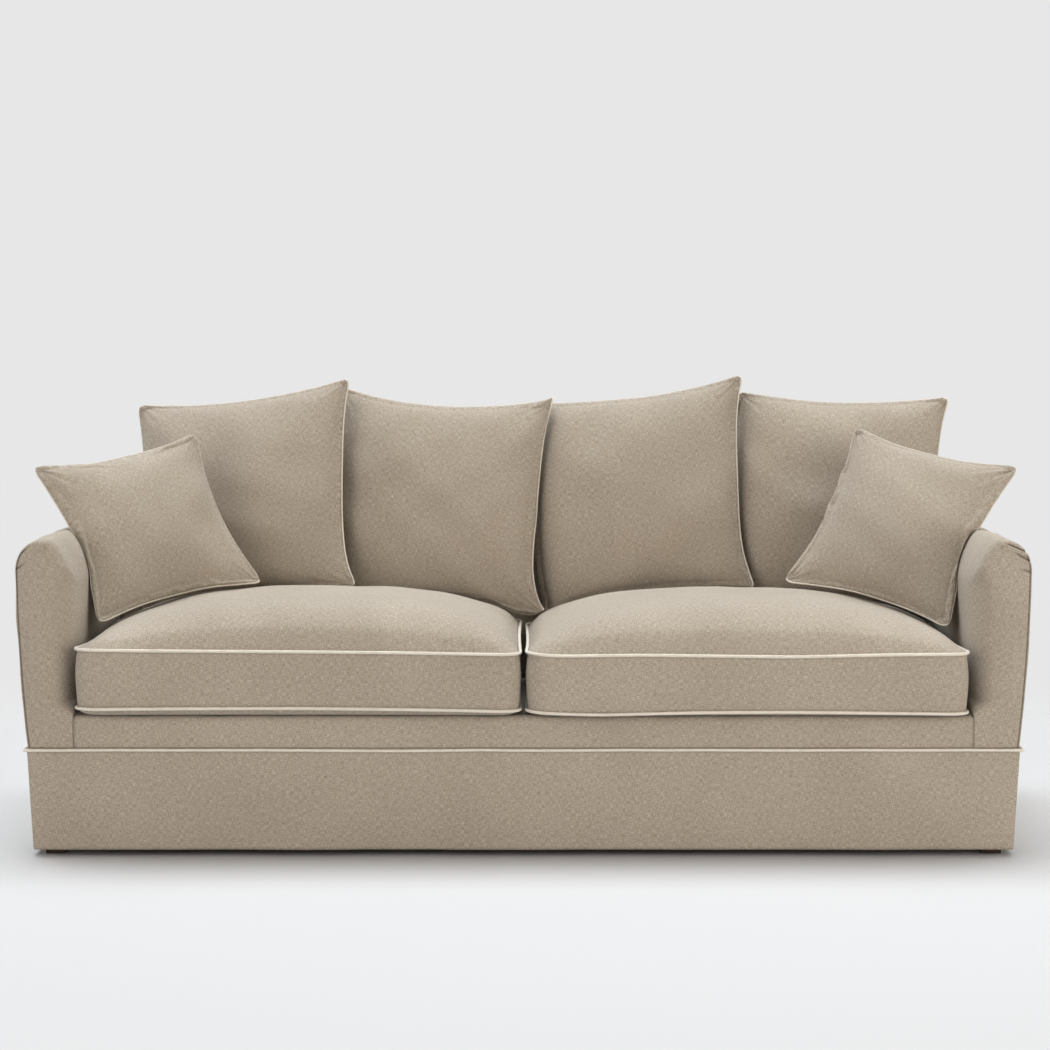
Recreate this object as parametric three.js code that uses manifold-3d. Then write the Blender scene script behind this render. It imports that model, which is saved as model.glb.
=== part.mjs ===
// Three-seat sofa with a loose linen cover: a beech frame on sinuous springs, foam pads,
// fitted cover panels with a corner-split skirt, and eight loose piped cushions.
// Millimetres, +Z up, +X to the viewer's right, -Y to the front, where the sitter's feet are.
// The origin is on the floor, under the centre foot.

import * as THREE from "three";
import { mergeVertices } from "three/addons/utils/BufferGeometryUtils.js";
import Module from "manifold-3d";

const wasm = await Module();
wasm.setup();

const degrees = THREE.MathUtils.degToRad;

// Driving sizes of the whole sofa
const seatSpan = 1912; // between the inner faces of the arms
const overallDepth = 950; // front of the seat piping to the back of the skirt piping
const armHeight = 676;
const backHeight = 785; // top of the fixed back, hidden behind the loose cushions
const deckHeight = 300; // platform that the seat cushions lie on
const skirtSeamHeight = 231;
const hemHeight = 15;
const backRake = degrees(16);
const seatOverhang = 26; // seat boxing stands in front of the arms and the apron

// Fits
const clearance = 0.3; // between pieces that touch
const overrun = 5; // cutting solids reach this far past what they cut
const chordEase = 1.2; // room for flat facets against a rounded neighbour

// Arm: rolled outwards, widest a little under its crest
const armBaseWidth = 90;
const armFlare = 28;
const armWidestDrop = 69;
const armRollDrop = 86; // the inner face starts to roll over this far under the crest
const armCrestOffset = 52;
const armFrontRound = 18;
const armCurveSteps = 5;
const roundSteps = 2;
const leastRound = 2; // rounds that shrink with an inner skin stop here
const rollShares = { inner: 0.64, innerCrest: 0.37, outerCrest: 0.55, outer: 0.62 };
const flankShares = { upper: 0.23, lower: 0.26, lowerReach: 0.57 };

// Back
const backFrontRound = 42;
const backRearRound = 24;
const backEndRound = 12;
const backTopDepth = 164; // front to rear at the top, before rounding
const backSeatGap = 2; // the seat piping stops this far in front of the foot of the back

// Cover and pads
const coverThickness = 2.5;
const padThickness = 12.9;
const backPadThickness = 45;
const apronRound = 14;

// Skirt
const skirtThickness = 2.5;
const skirtProud = 0.5;
const skirtFlare = 7;
const skirtHemDraw = 16; // the ends lean in from seam to hem
const skirtTurnUnder = 55;
const skirtFoldGap = 2;
const skirtSplit = 3;

// Piping
const skirtPipingRadius = 3.2;
const seatPipingRadius = 4;
const cushionPipingRadius = 3.5;
const pipingSides = 5;
const slimPipingSides = 4;
const leastMitre = 0.6; // sharp corners don't throw the piping further out than this allows

// Frame timber
const railThickness = 30;
const railHeight = 132;
const railDrop = 38; // rail tops under the deck, room for springs and foam
const centreRailHeight = 70;
const stumpDepth = 60;
const stumpWidth = 45;
const armTopRailHeight = 38;
const armTopRailDrop = 37.7; // under the arm's crest
const backPostThickness = 30;
const backPostSetback = 65; // post head under the top of the back
const backTopRailHeight = 60;
const canvasThickness = 1.5;
const dustThickness = 1.2;
const dustInset = 2;

// Feet
const footTopWidth = 56;
const footBottomWidth = 42;
const footInset = 2;
const footSides = 4;

// Sinuous springs
const springCount = 8;
const springWireRadius = 2;
const springWaveHalfWidth = 24;
const springWaves = 8;
const springStepsPerWave = 6;
const springRise = 12;
const springSideMargin = 70;
const springSeatShare = 0.5; // each end lies on the middle of its rail
const springWireSides = 4;

// Seat cushions: boxed, piped, strongly crowned
const seatSideEase = 8;
const seatMiddleGap = 2;
const seatBoxing = 122;
const seatSeamLift = 13; // lower seam above the deck
const seatCornerRadius = 42;
const seatBoxingBulge = 5;
const seatSideDraw = 4; // sides pull in between the corners
const seatBottomInset = 46;
const seatCornerSteps = 4;
const seatSideSteps = 6;
const seatDeepSteps = 5;
const seatRingShares = [0.985, 0.95, 0.89, 0.8, 0.66, 0.46, 0.24];
const crownPeakShare = 0.35; // of the depth, from the front
const crownPowers = { front: 3, rear: 4, ease: 0.6, middleSide: 3, armSide: 2.5, armEase: 0.75 };
const seatCrown = 104;
const seatLift = 5; // how much one cushion can stand higher than the seams are meant to
const seatCushionShares = [
  { name: "left", side: -1, liftShare: 1, crownShare: 1 },
  { name: "right", side: 1, liftShare: -0.6, crownShare: 1.05 },
];

// Loose cushions: knife edged, filled fuller below than above. Places are shares of the space between
// the arms, of the cushion's own height above the seat seam, and of its thickness off the back.
const cushionGrid = 14;
const gridEaseShare = 0.45; // how far the grid crowds towards the seams
const plumpPower = 0.52;
const lowFillShare = 0.1;
const seamNearnessPower = 4; // how closely the wider margin keeps to the seam
const settlePasses = 3;
const partingTurn = degrees(-38); // plane between two shingled neighbours, seen from above
const backCushionSize = 520;
const backCushionThickness = 196;
const backCushionSlump = 30;
const backCushionShares = [
  { acrossShare: -0.687, riseShare: 0.589, offShare: 0.476, wideShare: 1.015, tallShare: 0.973,
    turn: degrees(-15.6), lean: degrees(17.2), roll: degrees(7.6), sideDrawShare: 0.07, topDrawShare: 0.1 },
  { acrossShare: -0.207, riseShare: 0.534, offShare: 0.48, wideShare: 1.0, tallShare: 1.019,
    turn: degrees(-6), lean: degrees(16), roll: degrees(-1.7), sideDrawShare: 0.06, topDrawShare: 0.13 },
  { acrossShare: 0.282, riseShare: 0.605, offShare: 0.496, wideShare: 1.0, tallShare: 0.992,
    turn: degrees(-5), lean: degrees(16), roll: degrees(4.5), sideDrawShare: 0.07, topDrawShare: 0.11 },
  { acrossShare: 0.784, riseShare: 0.555, offShare: 0.4, wideShare: 0.973, tallShare: 0.99,
    turn: degrees(-2), lean: degrees(16), roll: degrees(-1.6), sideDrawShare: 0.09, topDrawShare: 0.09 },
];
const bottomDrawShare = 0.05;
const scatterSize = 410;
const scatterThickness = 140;
const scatterSlump = 14;
const scatterCushionShares = [
  { name: "left", side: -1, acrossShare: -0.882, offShare: 0.569, riseShare: 0.578, wideShare: 1.005,
    tallShare: 1.005, turn: degrees(31), lean: degrees(35), roll: degrees(10.6),
    sideDrawShare: 0.15, topDrawShare: 0.12 },
  { name: "right", side: 1, acrossShare: 0.893, offShare: 0.571, riseShare: 0.565, wideShare: 0.975,
    tallShare: 1.045, turn: degrees(-26), lean: degrees(34), roll: degrees(-13.4),
    sideDrawShare: 0.15, topDrawShare: 0.12 },
];
const scatterBottomDrawShare = 0.13;

// Finishes
const finishes = {
  linen: { color: "#a99a86", roughness: 0.95, metalness: 0 },
  piping: { color: "#ddd6c8", roughness: 0.9, metalness: 0 },
  foam: { color: "#e6dcb8", roughness: 0.9, metalness: 0 },
  beech: { color: "#c79a63", roughness: 0.6, metalness: 0 },
  darkWood: { color: "#2c211a", roughness: 0.5, metalness: 0 },
  springSteel: { color: "#7c8086", roughness: 0.4, metalness: 0.9 },
  canvas: { color: "#cfc4a8", roughness: 0.95, metalness: 0 },
  dustCloth: { color: "#1b1b1c", roughness: 0.95, metalness: 0 },
};

// Sizes worked out from the ones above
const innerHalf = seatSpan / 2;
const railTopHeight = deckHeight - railDrop;
const armWidestHeight = armHeight - armWidestDrop;
const armBaseReach = innerHalf + armBaseWidth;
const skirtPipingReach = skirtProud + clearance + 2 * skirtPipingRadius;
const seatPipingReach = clearance + 2 * seatPipingRadius;
const bodyRear = overallDepth / 2 - skirtPipingReach;
const seatFront = -overallDepth / 2 + seatPipingReach;
const bodyFront = seatFront + seatOverhang;
const padInset = coverThickness + clearance;
const frameInset = padInset + padThickness + clearance;
const frameFront = bodyFront + frameInset;
const skirtFold = 2 * skirtThickness + skirtFoldGap; // panel and turned-under end together
const frameRear = bodyRear + skirtProud - skirtFold - clearance;
const armFrameRear = bodyRear - frameInset;
const frameHalf = armBaseReach - frameInset;
const railBottomHeight = railTopHeight - railHeight;
const standHeight = railTopHeight + clearance; // what stands on the rails
const coverHem = skirtSeamHeight + clearance;
const springTop = standHeight + 2 * springWireRadius + springRise;
const seatRear = insideBackAt(deckHeight) - backSeatGap - seatPipingReach;
const seatDepth = seatRear - seatFront;

const sofa = new THREE.Group();

function addPiece(name, geometry, finish) {
  const mesh = new THREE.Mesh(geometry, new THREE.MeshStandardMaterial(finishes[finish]));
  mesh.name = name;
  sofa.add(mesh);
}

// Depth of the raked inside back at a height; its foot is set by the thickness of the back at the top
function insideBackAt(height) {
  return overallDepth / 2 - backTopDepth - (backHeight - height) * Math.tan(backRake);
}

// Booleans

function solidFrom(geometry) {
  const bare = geometry.index ? geometry.toNonIndexed() : geometry.clone();
  bare.deleteAttribute("normal");
  bare.deleteAttribute("uv");
  const merged = mergeVertices(bare);
  const mesh = new wasm.Mesh({
    numProp: 3,
    vertProperties: new Float32Array(merged.attributes.position.array),
    triVerts: new Uint32Array(merged.index.array),
  });
  return new wasm.Manifold(mesh);
}

function geometryFrom(solid) {
  const mesh = solid.getMesh();
  const geometry = new THREE.BufferGeometry();
  geometry.setAttribute("position", new THREE.BufferAttribute(new Float32Array(mesh.vertProperties), 3));
  geometry.setIndex(new THREE.BufferAttribute(new Uint32Array(mesh.triVerts), 1));
  geometry.computeVertexNormals();
  return geometry;
}

function cutBy(geometry, cutters) {
  let solid = solidFrom(geometry);
  for (const cutter of cutters) {
    solid = solid.subtract(solidFrom(cutter));
  }
  return geometryFrom(solid);
}

// Basic solids

function boxBetween(low, high) {
  const size = high.map((value, axis) => value - low[axis]);
  const middle = high.map((value, axis) => (value + low[axis]) / 2);
  return new THREE.BoxGeometry(...size).translate(...middle);
}

// On the left the box is the mirror image of the one given for the right
function sidedBox(side, low, high) {
  const across = [side * low[0], side * high[0]].sort((a, b) => a - b);
  return [
    [across[0], low[1], low[2]],
    [across[1], high[1], high[2]],
  ];
}

function shapeOf(points) {
  return new THREE.Shape(points.map(([a, b]) => new THREE.Vector2(a, b)));
}

function extruded(points, length, round) {
  return new THREE.ExtrudeGeometry(shapeOf(points), {
    depth: length - 2 * round,
    steps: 1,
    bevelEnabled: round > 0,
    bevelThickness: round,
    bevelSize: round,
    bevelOffset: -round,
    bevelSegments: roundSteps,
  }).translate(0, 0, round);
}

// An outline in (x, z) carried from the rear to the front
function extrudedForwards(points, rear, front, round = 0) {
  const basis = new THREE.Matrix4().makeBasis(
    new THREE.Vector3(1, 0, 0),
    new THREE.Vector3(0, 0, 1),
    new THREE.Vector3(0, -1, 0),
  );
  return extruded(points, rear - front, round).applyMatrix4(basis).translate(0, rear, 0);
}

// An outline in (y, z) carried from one side to the other
function extrudedAcross(points, from, to, round = 0) {
  const basis = new THREE.Matrix4().makeBasis(
    new THREE.Vector3(0, 1, 0),
    new THREE.Vector3(0, 0, 1),
    new THREE.Vector3(1, 0, 0),
  );
  return extruded(points, to - from, round).applyMatrix4(basis).translate(from, 0, 0);
}

// A closed skin from its points and triangles, turned so that it faces outwards
function closedSkin(points, triangles) {
  let volume = 0;
  for (const [a, b, c] of triangles) {
    volume += points[a].dot(new THREE.Vector3().crossVectors(points[b], points[c]));
  }
  const facing = volume < 0 ? triangles.map(([a, b, c]) => [a, c, b]) : triangles;
  const geometry = new THREE.BufferGeometry().setFromPoints(points);
  geometry.setIndex(facing.flat());
  geometry.computeVertexNormals();
  return geometry;
}

// Rings of equal count joined in turn; closed by a fan at each end, or the last ring to the first
function ringSkin(rings, startPoint, endPoint) {
  const count = rings[0].length;
  const points = rings.flat();
  const triangles = [];
  const looped = !startPoint;
  const spans = looped ? rings.length : rings.length - 1;
  for (let ring = 0; ring < spans; ring += 1) {
    const next = (ring + 1) % rings.length;
    for (let k = 0; k < count; k += 1) {
      const a = ring * count + k;
      const b = ring * count + ((k + 1) % count);
      const c = next * count + ((k + 1) % count);
      const d = next * count + k;
      triangles.push([a, b, c], [a, c, d]);
    }
  }
  if (!looped) {
    const last = (rings.length - 1) * count;
    points.push(startPoint, endPoint);
    for (let k = 0; k < count; k += 1) {
      const next = (k + 1) % count;
      triangles.push([points.length - 2, next, k], [points.length - 1, last + k, last + next]);
    }
  }
  return closedSkin(points, triangles);
}

// A tube around a closed path; each station has its own outward and sideways directions
function pipingLoop(stations, radius, sides) {
  const rings = stations.map(({ centre, outward, sideways }) =>
    Array.from({ length: sides }, (_, k) => {
      const angle = (k / sides) * 2 * Math.PI;
      return centre
        .clone()
        .addScaledVector(outward, radius * Math.cos(angle))
        .addScaledVector(sideways, radius * Math.sin(angle));
    }),
  );
  return ringSkin(rings);
}

// Arm outline in (x, z), from the foot of the inner face over the crest to the foot of the outer face

function armOutline(inset, foot) {
  const crest = [innerHalf + armCrestOffset, armHeight];
  const widest = [armBaseReach + armFlare, armWidestHeight];
  const rollFoot = armHeight - armRollDrop;
  const flank = armWidestHeight - skirtSeamHeight;
  const curves = [
    new THREE.CubicBezierCurve(
      new THREE.Vector2(innerHalf, rollFoot),
      new THREE.Vector2(innerHalf, rollFoot + rollShares.inner * armRollDrop),
      new THREE.Vector2(innerHalf + rollShares.innerCrest * armCrestOffset, armHeight),
      new THREE.Vector2(...crest),
    ),
    new THREE.CubicBezierCurve(
      new THREE.Vector2(...crest),
      new THREE.Vector2(crest[0] + rollShares.outerCrest * (widest[0] - crest[0]), armHeight),
      new THREE.Vector2(widest[0], armHeight - (1 - rollShares.outer) * armWidestDrop),
      new THREE.Vector2(...widest),
    ),
    new THREE.CubicBezierCurve(
      new THREE.Vector2(...widest),
      new THREE.Vector2(widest[0], armWidestHeight - flankShares.upper * flank),
      new THREE.Vector2(armBaseReach + flankShares.lowerReach * armFlare,
        skirtSeamHeight + flankShares.lower * flank),
      new THREE.Vector2(armBaseReach, skirtSeamHeight),
    ),
  ];
  const path = [new THREE.Vector2(innerHalf, skirtSeamHeight)];
  for (const curve of curves) {
    path.push(...curve.getPoints(armCurveSteps).slice(curve === curves[0] ? 0 : 1));
  }
  return insetPath(path, inset, foot);
}

// The open path moved inwards by an even distance, its two ends brought down to the foot level
function insetPath(path, inset, foot) {
  const moved = path.map((point, k) => {
    const before = path[Math.max(k - 1, 0)];
    const after = path[Math.min(k + 1, path.length - 1)];
    const along = new THREE.Vector2().subVectors(after, before).normalize();
    return [point.x + inset * along.y, point.y - inset * along.x];
  });
  const last = moved.length - 1;
  return [[moved[0][0], foot], ...moved.slice(1, last), [moved[last][0], foot]];
}

function armSolid(side, inset, foot) {
  const round = Math.max(armFrontRound - inset, leastRound);
  const outline = armOutline(inset, foot - round - overrun);
  const placed = outline.map(([x, z]) => [side * x, z]);
  const solid = extrudedForwards(placed, bodyRear - inset, bodyFront + inset, round);
  const reach = armBaseReach + armFlare + overrun;
  const below = boxBetween([-reach, -overallDepth, -overallDepth], [reach, overallDepth, foot]);
  return cutBy(solid, [below]);
}

// Back outline in (y, z): raked inside face, rounded top, upright outside face

function backOutline(inset, foot) {
  const slope = new THREE.Vector2(Math.sin(backRake), Math.cos(backRake));
  const shift = inset / Math.cos(backRake);
  const insideAt = (height) => insideBackAt(height) + shift;
  const top = backHeight - inset;
  const rear = bodyRear - inset;
  const frontRound = Math.max(backFrontRound - inset, leastRound);
  const rearRound = Math.max(backRearRound - inset, leastRound);
  const tangent = frontRound * Math.tan((Math.PI / 2 - backRake) / 2);
  const shape = new THREE.Shape();
  shape.moveTo(insideAt(foot), foot);
  shape.lineTo(insideAt(top) - tangent * slope.x, top - tangent * slope.y);
  shape.quadraticCurveTo(insideAt(top), top, insideAt(top) + tangent, top);
  shape.lineTo(rear - rearRound, top);
  shape.quadraticCurveTo(rear, top, rear, top - rearRound);
  shape.lineTo(rear, foot);
  return shape.getPoints(armCurveSteps).map((point) => [point.x, point.y]);
}

function backSolid(inset, foot) {
  const half = innerHalf - clearance - inset;
  const round = Math.max(backEndRound - inset, leastRound);
  const solid = extrudedAcross(backOutline(inset, foot - round - overrun), -half, half, round);
  const below = boxBetween([-overallDepth * 2, -overallDepth, -overallDepth],
    [overallDepth * 2, overallDepth, foot]);
  return cutBy(solid, [below]);
}

// Frame

const frontRailBox = [
  [-frameHalf + railThickness + clearance, frameFront, railBottomHeight],
  [frameHalf - railThickness - clearance, frameFront + railThickness, railTopHeight],
];
const rearRailBox = [
  [frontRailBox[0][0], frameRear - railThickness, railBottomHeight],
  [frontRailBox[1][0], frameRear, railTopHeight],
];
const centreRailBox = [
  [-railThickness / 2, frontRailBox[1][1] + clearance, railBottomHeight],
  [railThickness / 2, rearRailBox[0][1] - clearance, railBottomHeight + centreRailHeight],
];
const armTopRailBottom = armHeight - armTopRailDrop - armTopRailHeight - clearance;
const backPostHead = backHeight - backPostSetback;
const canvasFrontAt = (height) => insideBackAt(height) + backPadThickness + clearance;
const canvasRearAt = (height) => canvasFrontAt(height) + canvasThickness + clearance;

function sideFrameBoxes(side) {
  const inner = frameHalf - railThickness;
  return {
    side_rail: sidedBox(side, [inner, frameFront, railBottomHeight], [frameHalf, frameRear, railTopHeight]),
    arm_stump: sidedBox(side,
      [frameHalf - stumpWidth, frameFront, standHeight],
      [frameHalf, frameFront + stumpDepth, armTopRailBottom]),
    arm_post: sidedBox(side,
      [frameHalf - stumpWidth, armFrameRear - stumpDepth, standHeight],
      [frameHalf, armFrameRear, armTopRailBottom]),
    arm_top_rail: sidedBox(side,
      [frameHalf - stumpWidth, frameFront, armTopRailBottom + clearance],
      [frameHalf, armFrameRear, armTopRailBottom + clearance + armTopRailHeight]),
  };
}

addPiece("front_rail", boxBetween(...frontRailBox), "beech");
addPiece("rear_rail", boxBetween(...rearRailBox), "beech");
addPiece("centre_rail", boxBetween(...centreRailBox), "beech");

for (const [word, side] of [["left", -1], ["right", 1]]) {
  for (const [name, box] of Object.entries(sideFrameBoxes(side))) {
    addPiece(`${name}_${word}`, boxBetween(...box), "beech");
  }
}

// Shaped back posts: front edge raked with the back, rear edge upright, standing on the rear rail
const backPostOuter = innerHalf - clearance - frameInset;
for (const [word, side] of [["left", -1], ["right", 1]]) {
  const across = [side * backPostOuter, side * (backPostOuter - backPostThickness)].sort((a, b) => a - b);
  const outline = [
    [rearRailBox[0][1], standHeight],
    [frameRear, standHeight],
    [frameRear, backPostHead],
    [canvasRearAt(backPostHead), backPostHead],
    [canvasRearAt(deckHeight + clearance), deckHeight + clearance],
  ];
  addPiece(`back_post_${word}`, extrudedAcross(outline, ...across), "beech");
}
addPiece("back_top_rail", boxBetween(
  [-backPostOuter + backPostThickness + clearance,
    canvasRearAt(backPostHead), backPostHead - backTopRailHeight],
  [backPostOuter - backPostThickness - clearance,
    canvasRearAt(backPostHead) + railThickness, backPostHead],
), "beech");

// Feet and dust cloth

const footSpreadX = frameHalf - footInset - footTopWidth / 2;
const footFrontY = frameFront + footInset + footTopWidth / 2;
const footRearY = frameRear - footInset - footTopWidth / 2;
const footPlaces = {
  foot_front_left: [-footSpreadX, footFrontY],
  foot_front_right: [footSpreadX, footFrontY],
  foot_rear_left: [-footSpreadX, footRearY],
  foot_rear_right: [footSpreadX, footRearY],
  foot_centre: [0, 0],
};
const footHeight = railBottomHeight - clearance;
const squareReach = Math.SQRT2 / 2;
for (const [name, [x, y]] of Object.entries(footPlaces)) {
  const foot = new THREE.CylinderGeometry(
    footTopWidth * squareReach, footBottomWidth * squareReach, footHeight, footSides, 1)
    .rotateY(Math.PI / 4)
    .rotateX(Math.PI / 2)
    .translate(x, y, footHeight / 2);
  addPiece(name, foot, "darkWood");
}

const dustTop = railBottomHeight - clearance;
const dustSheet = boxBetween(
  [-frameHalf + dustInset, frameFront + dustInset, dustTop - dustThickness],
  [frameHalf - dustInset, frameRear - dustInset, dustTop],
);
const footRooms = Object.values(footPlaces).map(([x, y]) => boxBetween(
  [x - footTopWidth / 2 - clearance - footInset, y - footTopWidth / 2 - clearance - footInset, 0],
  [x + footTopWidth / 2 + clearance + footInset, y + footTopWidth / 2 + clearance + footInset,
    railTopHeight],
));
addPiece("dust_cover", cutBy(dustSheet, footRooms), "dustCloth");

// Sinuous springs: a wave in plan, sprung upwards a little between the rails

class SpringWave extends THREE.Curve {
  constructor(across, from, to) {
    super();
    this.across = across;
    this.from = from;
    this.to = to;
  }

  getPoint(share, target = new THREE.Vector3()) {
    return target.set(
      this.across + springWaveHalfWidth * Math.sin(2 * Math.PI * springWaves * share),
      THREE.MathUtils.lerp(this.from, this.to, share),
      standHeight + springWireRadius + springRise * Math.sin(Math.PI * share),
    );
  }
}

function roundSection(radius, sides) {
  return Array.from({ length: sides }, (_, k) => {
    const angle = (k / sides) * 2 * Math.PI;
    return [radius * Math.cos(angle), radius * Math.sin(angle)];
  });
}

const springFrom = frontRailBox[0][1] + springSeatShare * railThickness;
const springTo = rearRailBox[0][1] + springSeatShare * railThickness;
const springReach = innerHalf - springSideMargin;
for (let k = 0; k < springCount; k += 1) {
  const across = THREE.MathUtils.lerp(-springReach, springReach, k / (springCount - 1));
  const wire = new THREE.ExtrudeGeometry(shapeOf(roundSection(springWireRadius, springWireSides)), {
    steps: springWaves * springStepsPerWave,
    extrudePath: new SpringWave(across, springFrom, springTo),
    bevelEnabled: false,
  });
  addPiece(`seat_spring_${k + 1}`, wire, "springSteel");
}

// Deck: foam slab with a lip over the front rail, and the cover panel that makes platform and apron

function deckOutline(inset, foot, rear) {
  const round = Math.max(apronRound - inset, leastRound);
  const top = deckHeight - inset;
  const front = bodyFront + inset;
  const shape = new THREE.Shape();
  shape.moveTo(rear, foot);
  shape.lineTo(rear, top);
  shape.lineTo(front + round, top);
  shape.quadraticCurveTo(front, top, front, top - round);
  shape.lineTo(front, foot);
  return shape.getPoints(armCurveSteps).map((point) => [point.x, point.y]);
}

const deckHalf = innerHalf - clearance;
const deckRear = insideBackAt(deckHeight) + backPadThickness;
const padUnderside = springTop + clearance;
const deckPanel = extrudedAcross(deckOutline(0, coverHem, deckRear), -deckHalf, deckHalf);
const deckHollow = extrudedAcross(
  deckOutline(coverThickness, coverHem - overrun, deckRear + overrun),
  -deckHalf - overrun, deckHalf + overrun);
addPiece("cover_deck", cutBy(deckPanel, [deckHollow]), "linen");

const deckFoam = extrudedAcross(deckOutline(padInset, coverHem, deckRear), -deckHalf, deckHalf);
const underDeck = boxBetween(
  [-innerHalf, frameFront - clearance, 0],
  [innerHalf, overallDepth, padUnderside],
);
addPiece("deck_pad", cutBy(deckFoam, [underDeck]), "foam");

// Arms: cover shell over a foam shell, both open underneath and clear of the rails that run in below

for (const [word, side] of [["left", -1], ["right", 1]]) {
  const underArm = (outer, front) => boxBetween(...sidedBox(side,
    [innerHalf - overrun, front, 0], [outer, overallDepth, railTopHeight + 2 * clearance]));
  const cover = cutBy(armSolid(side, 0, coverHem), [
    armSolid(side, coverThickness, coverHem - overrun),
    underArm(frameHalf, bodyFront + padInset),
  ]);
  addPiece(`cover_arm_${word}`, cover, "linen");
  const pad = cutBy(armSolid(side, padInset, coverHem), [
    armSolid(side, padInset + padThickness, coverHem - overrun),
    underArm(frameHalf + clearance, frameFront - clearance),
  ]);
  addPiece(`arm_pad_${word}`, pad, "foam");
}

// Back: cover shell, foam over the inside and the top, and the canvas that carries the foam

const backHeel = deckHeight + clearance;
const reachX = innerHalf + overrun;
const underBack = (rear) => boxBetween([-reachX, -overallDepth, 0], [reachX, rear, backHeel]);
const backCover = cutBy(backSolid(0, coverHem), [
  backSolid(coverThickness, coverHem - overrun),
  underBack(bodyRear - coverThickness),
]);
addPiece("cover_back", backCover, "linen");

const backHollow = extrudedAcross([
  [canvasFrontAt(0) - clearance, 0],
  [frameRear + clearance, 0],
  [frameRear + clearance, backPostHead + clearance],
  [canvasFrontAt(backPostHead + clearance) - clearance, backPostHead + clearance],
], -reachX, reachX);
addPiece("back_pad", cutBy(backSolid(padInset, backHeel), [backHollow]), "foam");

const canvas = extrudedAcross([
  [canvasFrontAt(backHeel), backHeel],
  [canvasFrontAt(backHeel) + canvasThickness, backHeel],
  [canvasFrontAt(backPostHead) + canvasThickness, backPostHead],
  [canvasFrontAt(backPostHead), backPostHead],
], -backPostOuter, backPostOuter);
addPiece("back_canvas", canvas, "canvas");

// Skirt: four flat panels with their ends turned under, split at the corners

function skirtOutline(half) {
  const one = skirtThickness;
  const fold = skirtThickness + skirtFoldGap;
  const two = fold + skirtThickness;
  const under = half - skirtTurnUnder;
  return [
    [-half, 0], [half, 0], [half, two], [under, two], [under, fold], [half - one, fold], [half - one, one],
    [one - half, one], [one - half, fold], [-under, fold], [-under, two], [-half, two],
  ];
}

// The hem moves out or in from the seam line, and its ends in or out along the panel
function skirtPanel(half, hemOut, hemDraw) {
  const geometry = extruded(skirtOutline(half), skirtSeamHeight - clearance - hemHeight, 0);
  const places = geometry.attributes.position;
  for (let k = 0; k < places.count; k += 1) {
    if (places.getZ(k) === 0) {
      places.setX(k, places.getX(k) - Math.sign(places.getX(k)) * hemDraw);
      places.setY(k, places.getY(k) - hemOut);
    }
  }
  return geometry.translate(0, 0, hemHeight);
}

const skirtReach = armBaseReach + skirtProud;
const skirtFront = bodyFront - skirtProud;
const skirtRear = bodyRear + skirtProud;
const skirtSideHalf = (skirtRear - skirtFront) / 2 - skirtFold - skirtSplit;
const skirtMiddle = (skirtRear + skirtFront) / 2;
addPiece("skirt_front",
  skirtPanel(skirtReach, skirtFlare, skirtHemDraw).translate(0, skirtFront, 0), "linen");
addPiece("skirt_back",
  skirtPanel(skirtReach, 0, skirtHemDraw).rotateZ(Math.PI).translate(0, skirtRear, 0), "linen");
addPiece("skirt_right",
  skirtPanel(skirtSideHalf, -skirtHemDraw, 0).rotateZ(Math.PI / 2).translate(skirtReach, skirtMiddle, 0),
  "linen");
addPiece("skirt_left",
  skirtPanel(skirtSideHalf, -skirtHemDraw, 0).rotateZ(-Math.PI / 2).translate(-skirtReach, skirtMiddle, 0),
  "linen");

// A plan outline of a rectangle with round corners, counterclockwise, with its outward directions

function roundedPlan(half, deepHalf, radius, cornerSteps, sideSteps, deepSteps) {
  const corners = [[1, -1], [1, 1], [-1, 1], [-1, -1]];
  const stations = [];
  const stationAt = (corner, angle) => {
    const outward = new THREE.Vector3(Math.cos(angle), Math.sin(angle), 0);
    const centre = new THREE.Vector3(corner[0] * (half - radius), corner[1] * (deepHalf - radius), 0);
    return { outward, place: centre.addScaledVector(outward, radius) };
  };
  corners.forEach((corner, k) => {
    const startAngle = (k - 1) * (Math.PI / 2);
    for (let step = 0; step <= cornerSteps; step += 1) {
      stations.push(stationAt(corner, startAngle + (step / cornerSteps) * (Math.PI / 2)));
    }
    const steps = k % 2 === 0 ? deepSteps : sideSteps;
    const endAngle = startAngle + Math.PI / 2;
    const from = stationAt(corner, endAngle).place;
    const to = stationAt(corners[(k + 1) % corners.length], endAngle).place;
    for (let step = 1; step < steps; step += 1) {
      stations.push({
        outward: new THREE.Vector3(Math.cos(endAngle), Math.sin(endAngle), 0),
        place: from.clone().lerp(to, step / steps),
      });
    }
  });
  return stations;
}

const up = new THREE.Vector3(0, 0, 1);
const skirtPipingOff = clearance + skirtPipingRadius;
const skirtPipingStations = roundedPlan(
  skirtReach + skirtPipingOff, (skirtRear - skirtFront) / 2 + skirtPipingOff,
  skirtPipingOff, roundSteps, 1, 1,
).map(({ outward, place }) => ({
  centre: place.add(new THREE.Vector3(0, skirtMiddle, skirtSeamHeight - skirtPipingRadius)),
  outward,
  sideways: up,
}));
addPiece("skirt_piping", pipingLoop(skirtPipingStations, skirtPipingRadius, pipingSides), "piping");

// Seat cushions

const seatArmReach = innerHalf - seatSideEase - seatPipingReach;
const seatMiddleReach = seatMiddleGap / 2 + seatPipingReach;
const seatHalf = (seatArmReach - seatMiddleReach) / 2;
const seatCentreX = (seatArmReach + seatMiddleReach) / 2;
const seatDeepHalf = seatDepth / 2;
const seatCentreY = seatFront + seatDeepHalf;

function seatSeams({ liftShare }) {
  const lower = deckHeight + seatSeamLift + liftShare * seatLift;
  return { lower, upper: lower + seatBoxing };
}

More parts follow.
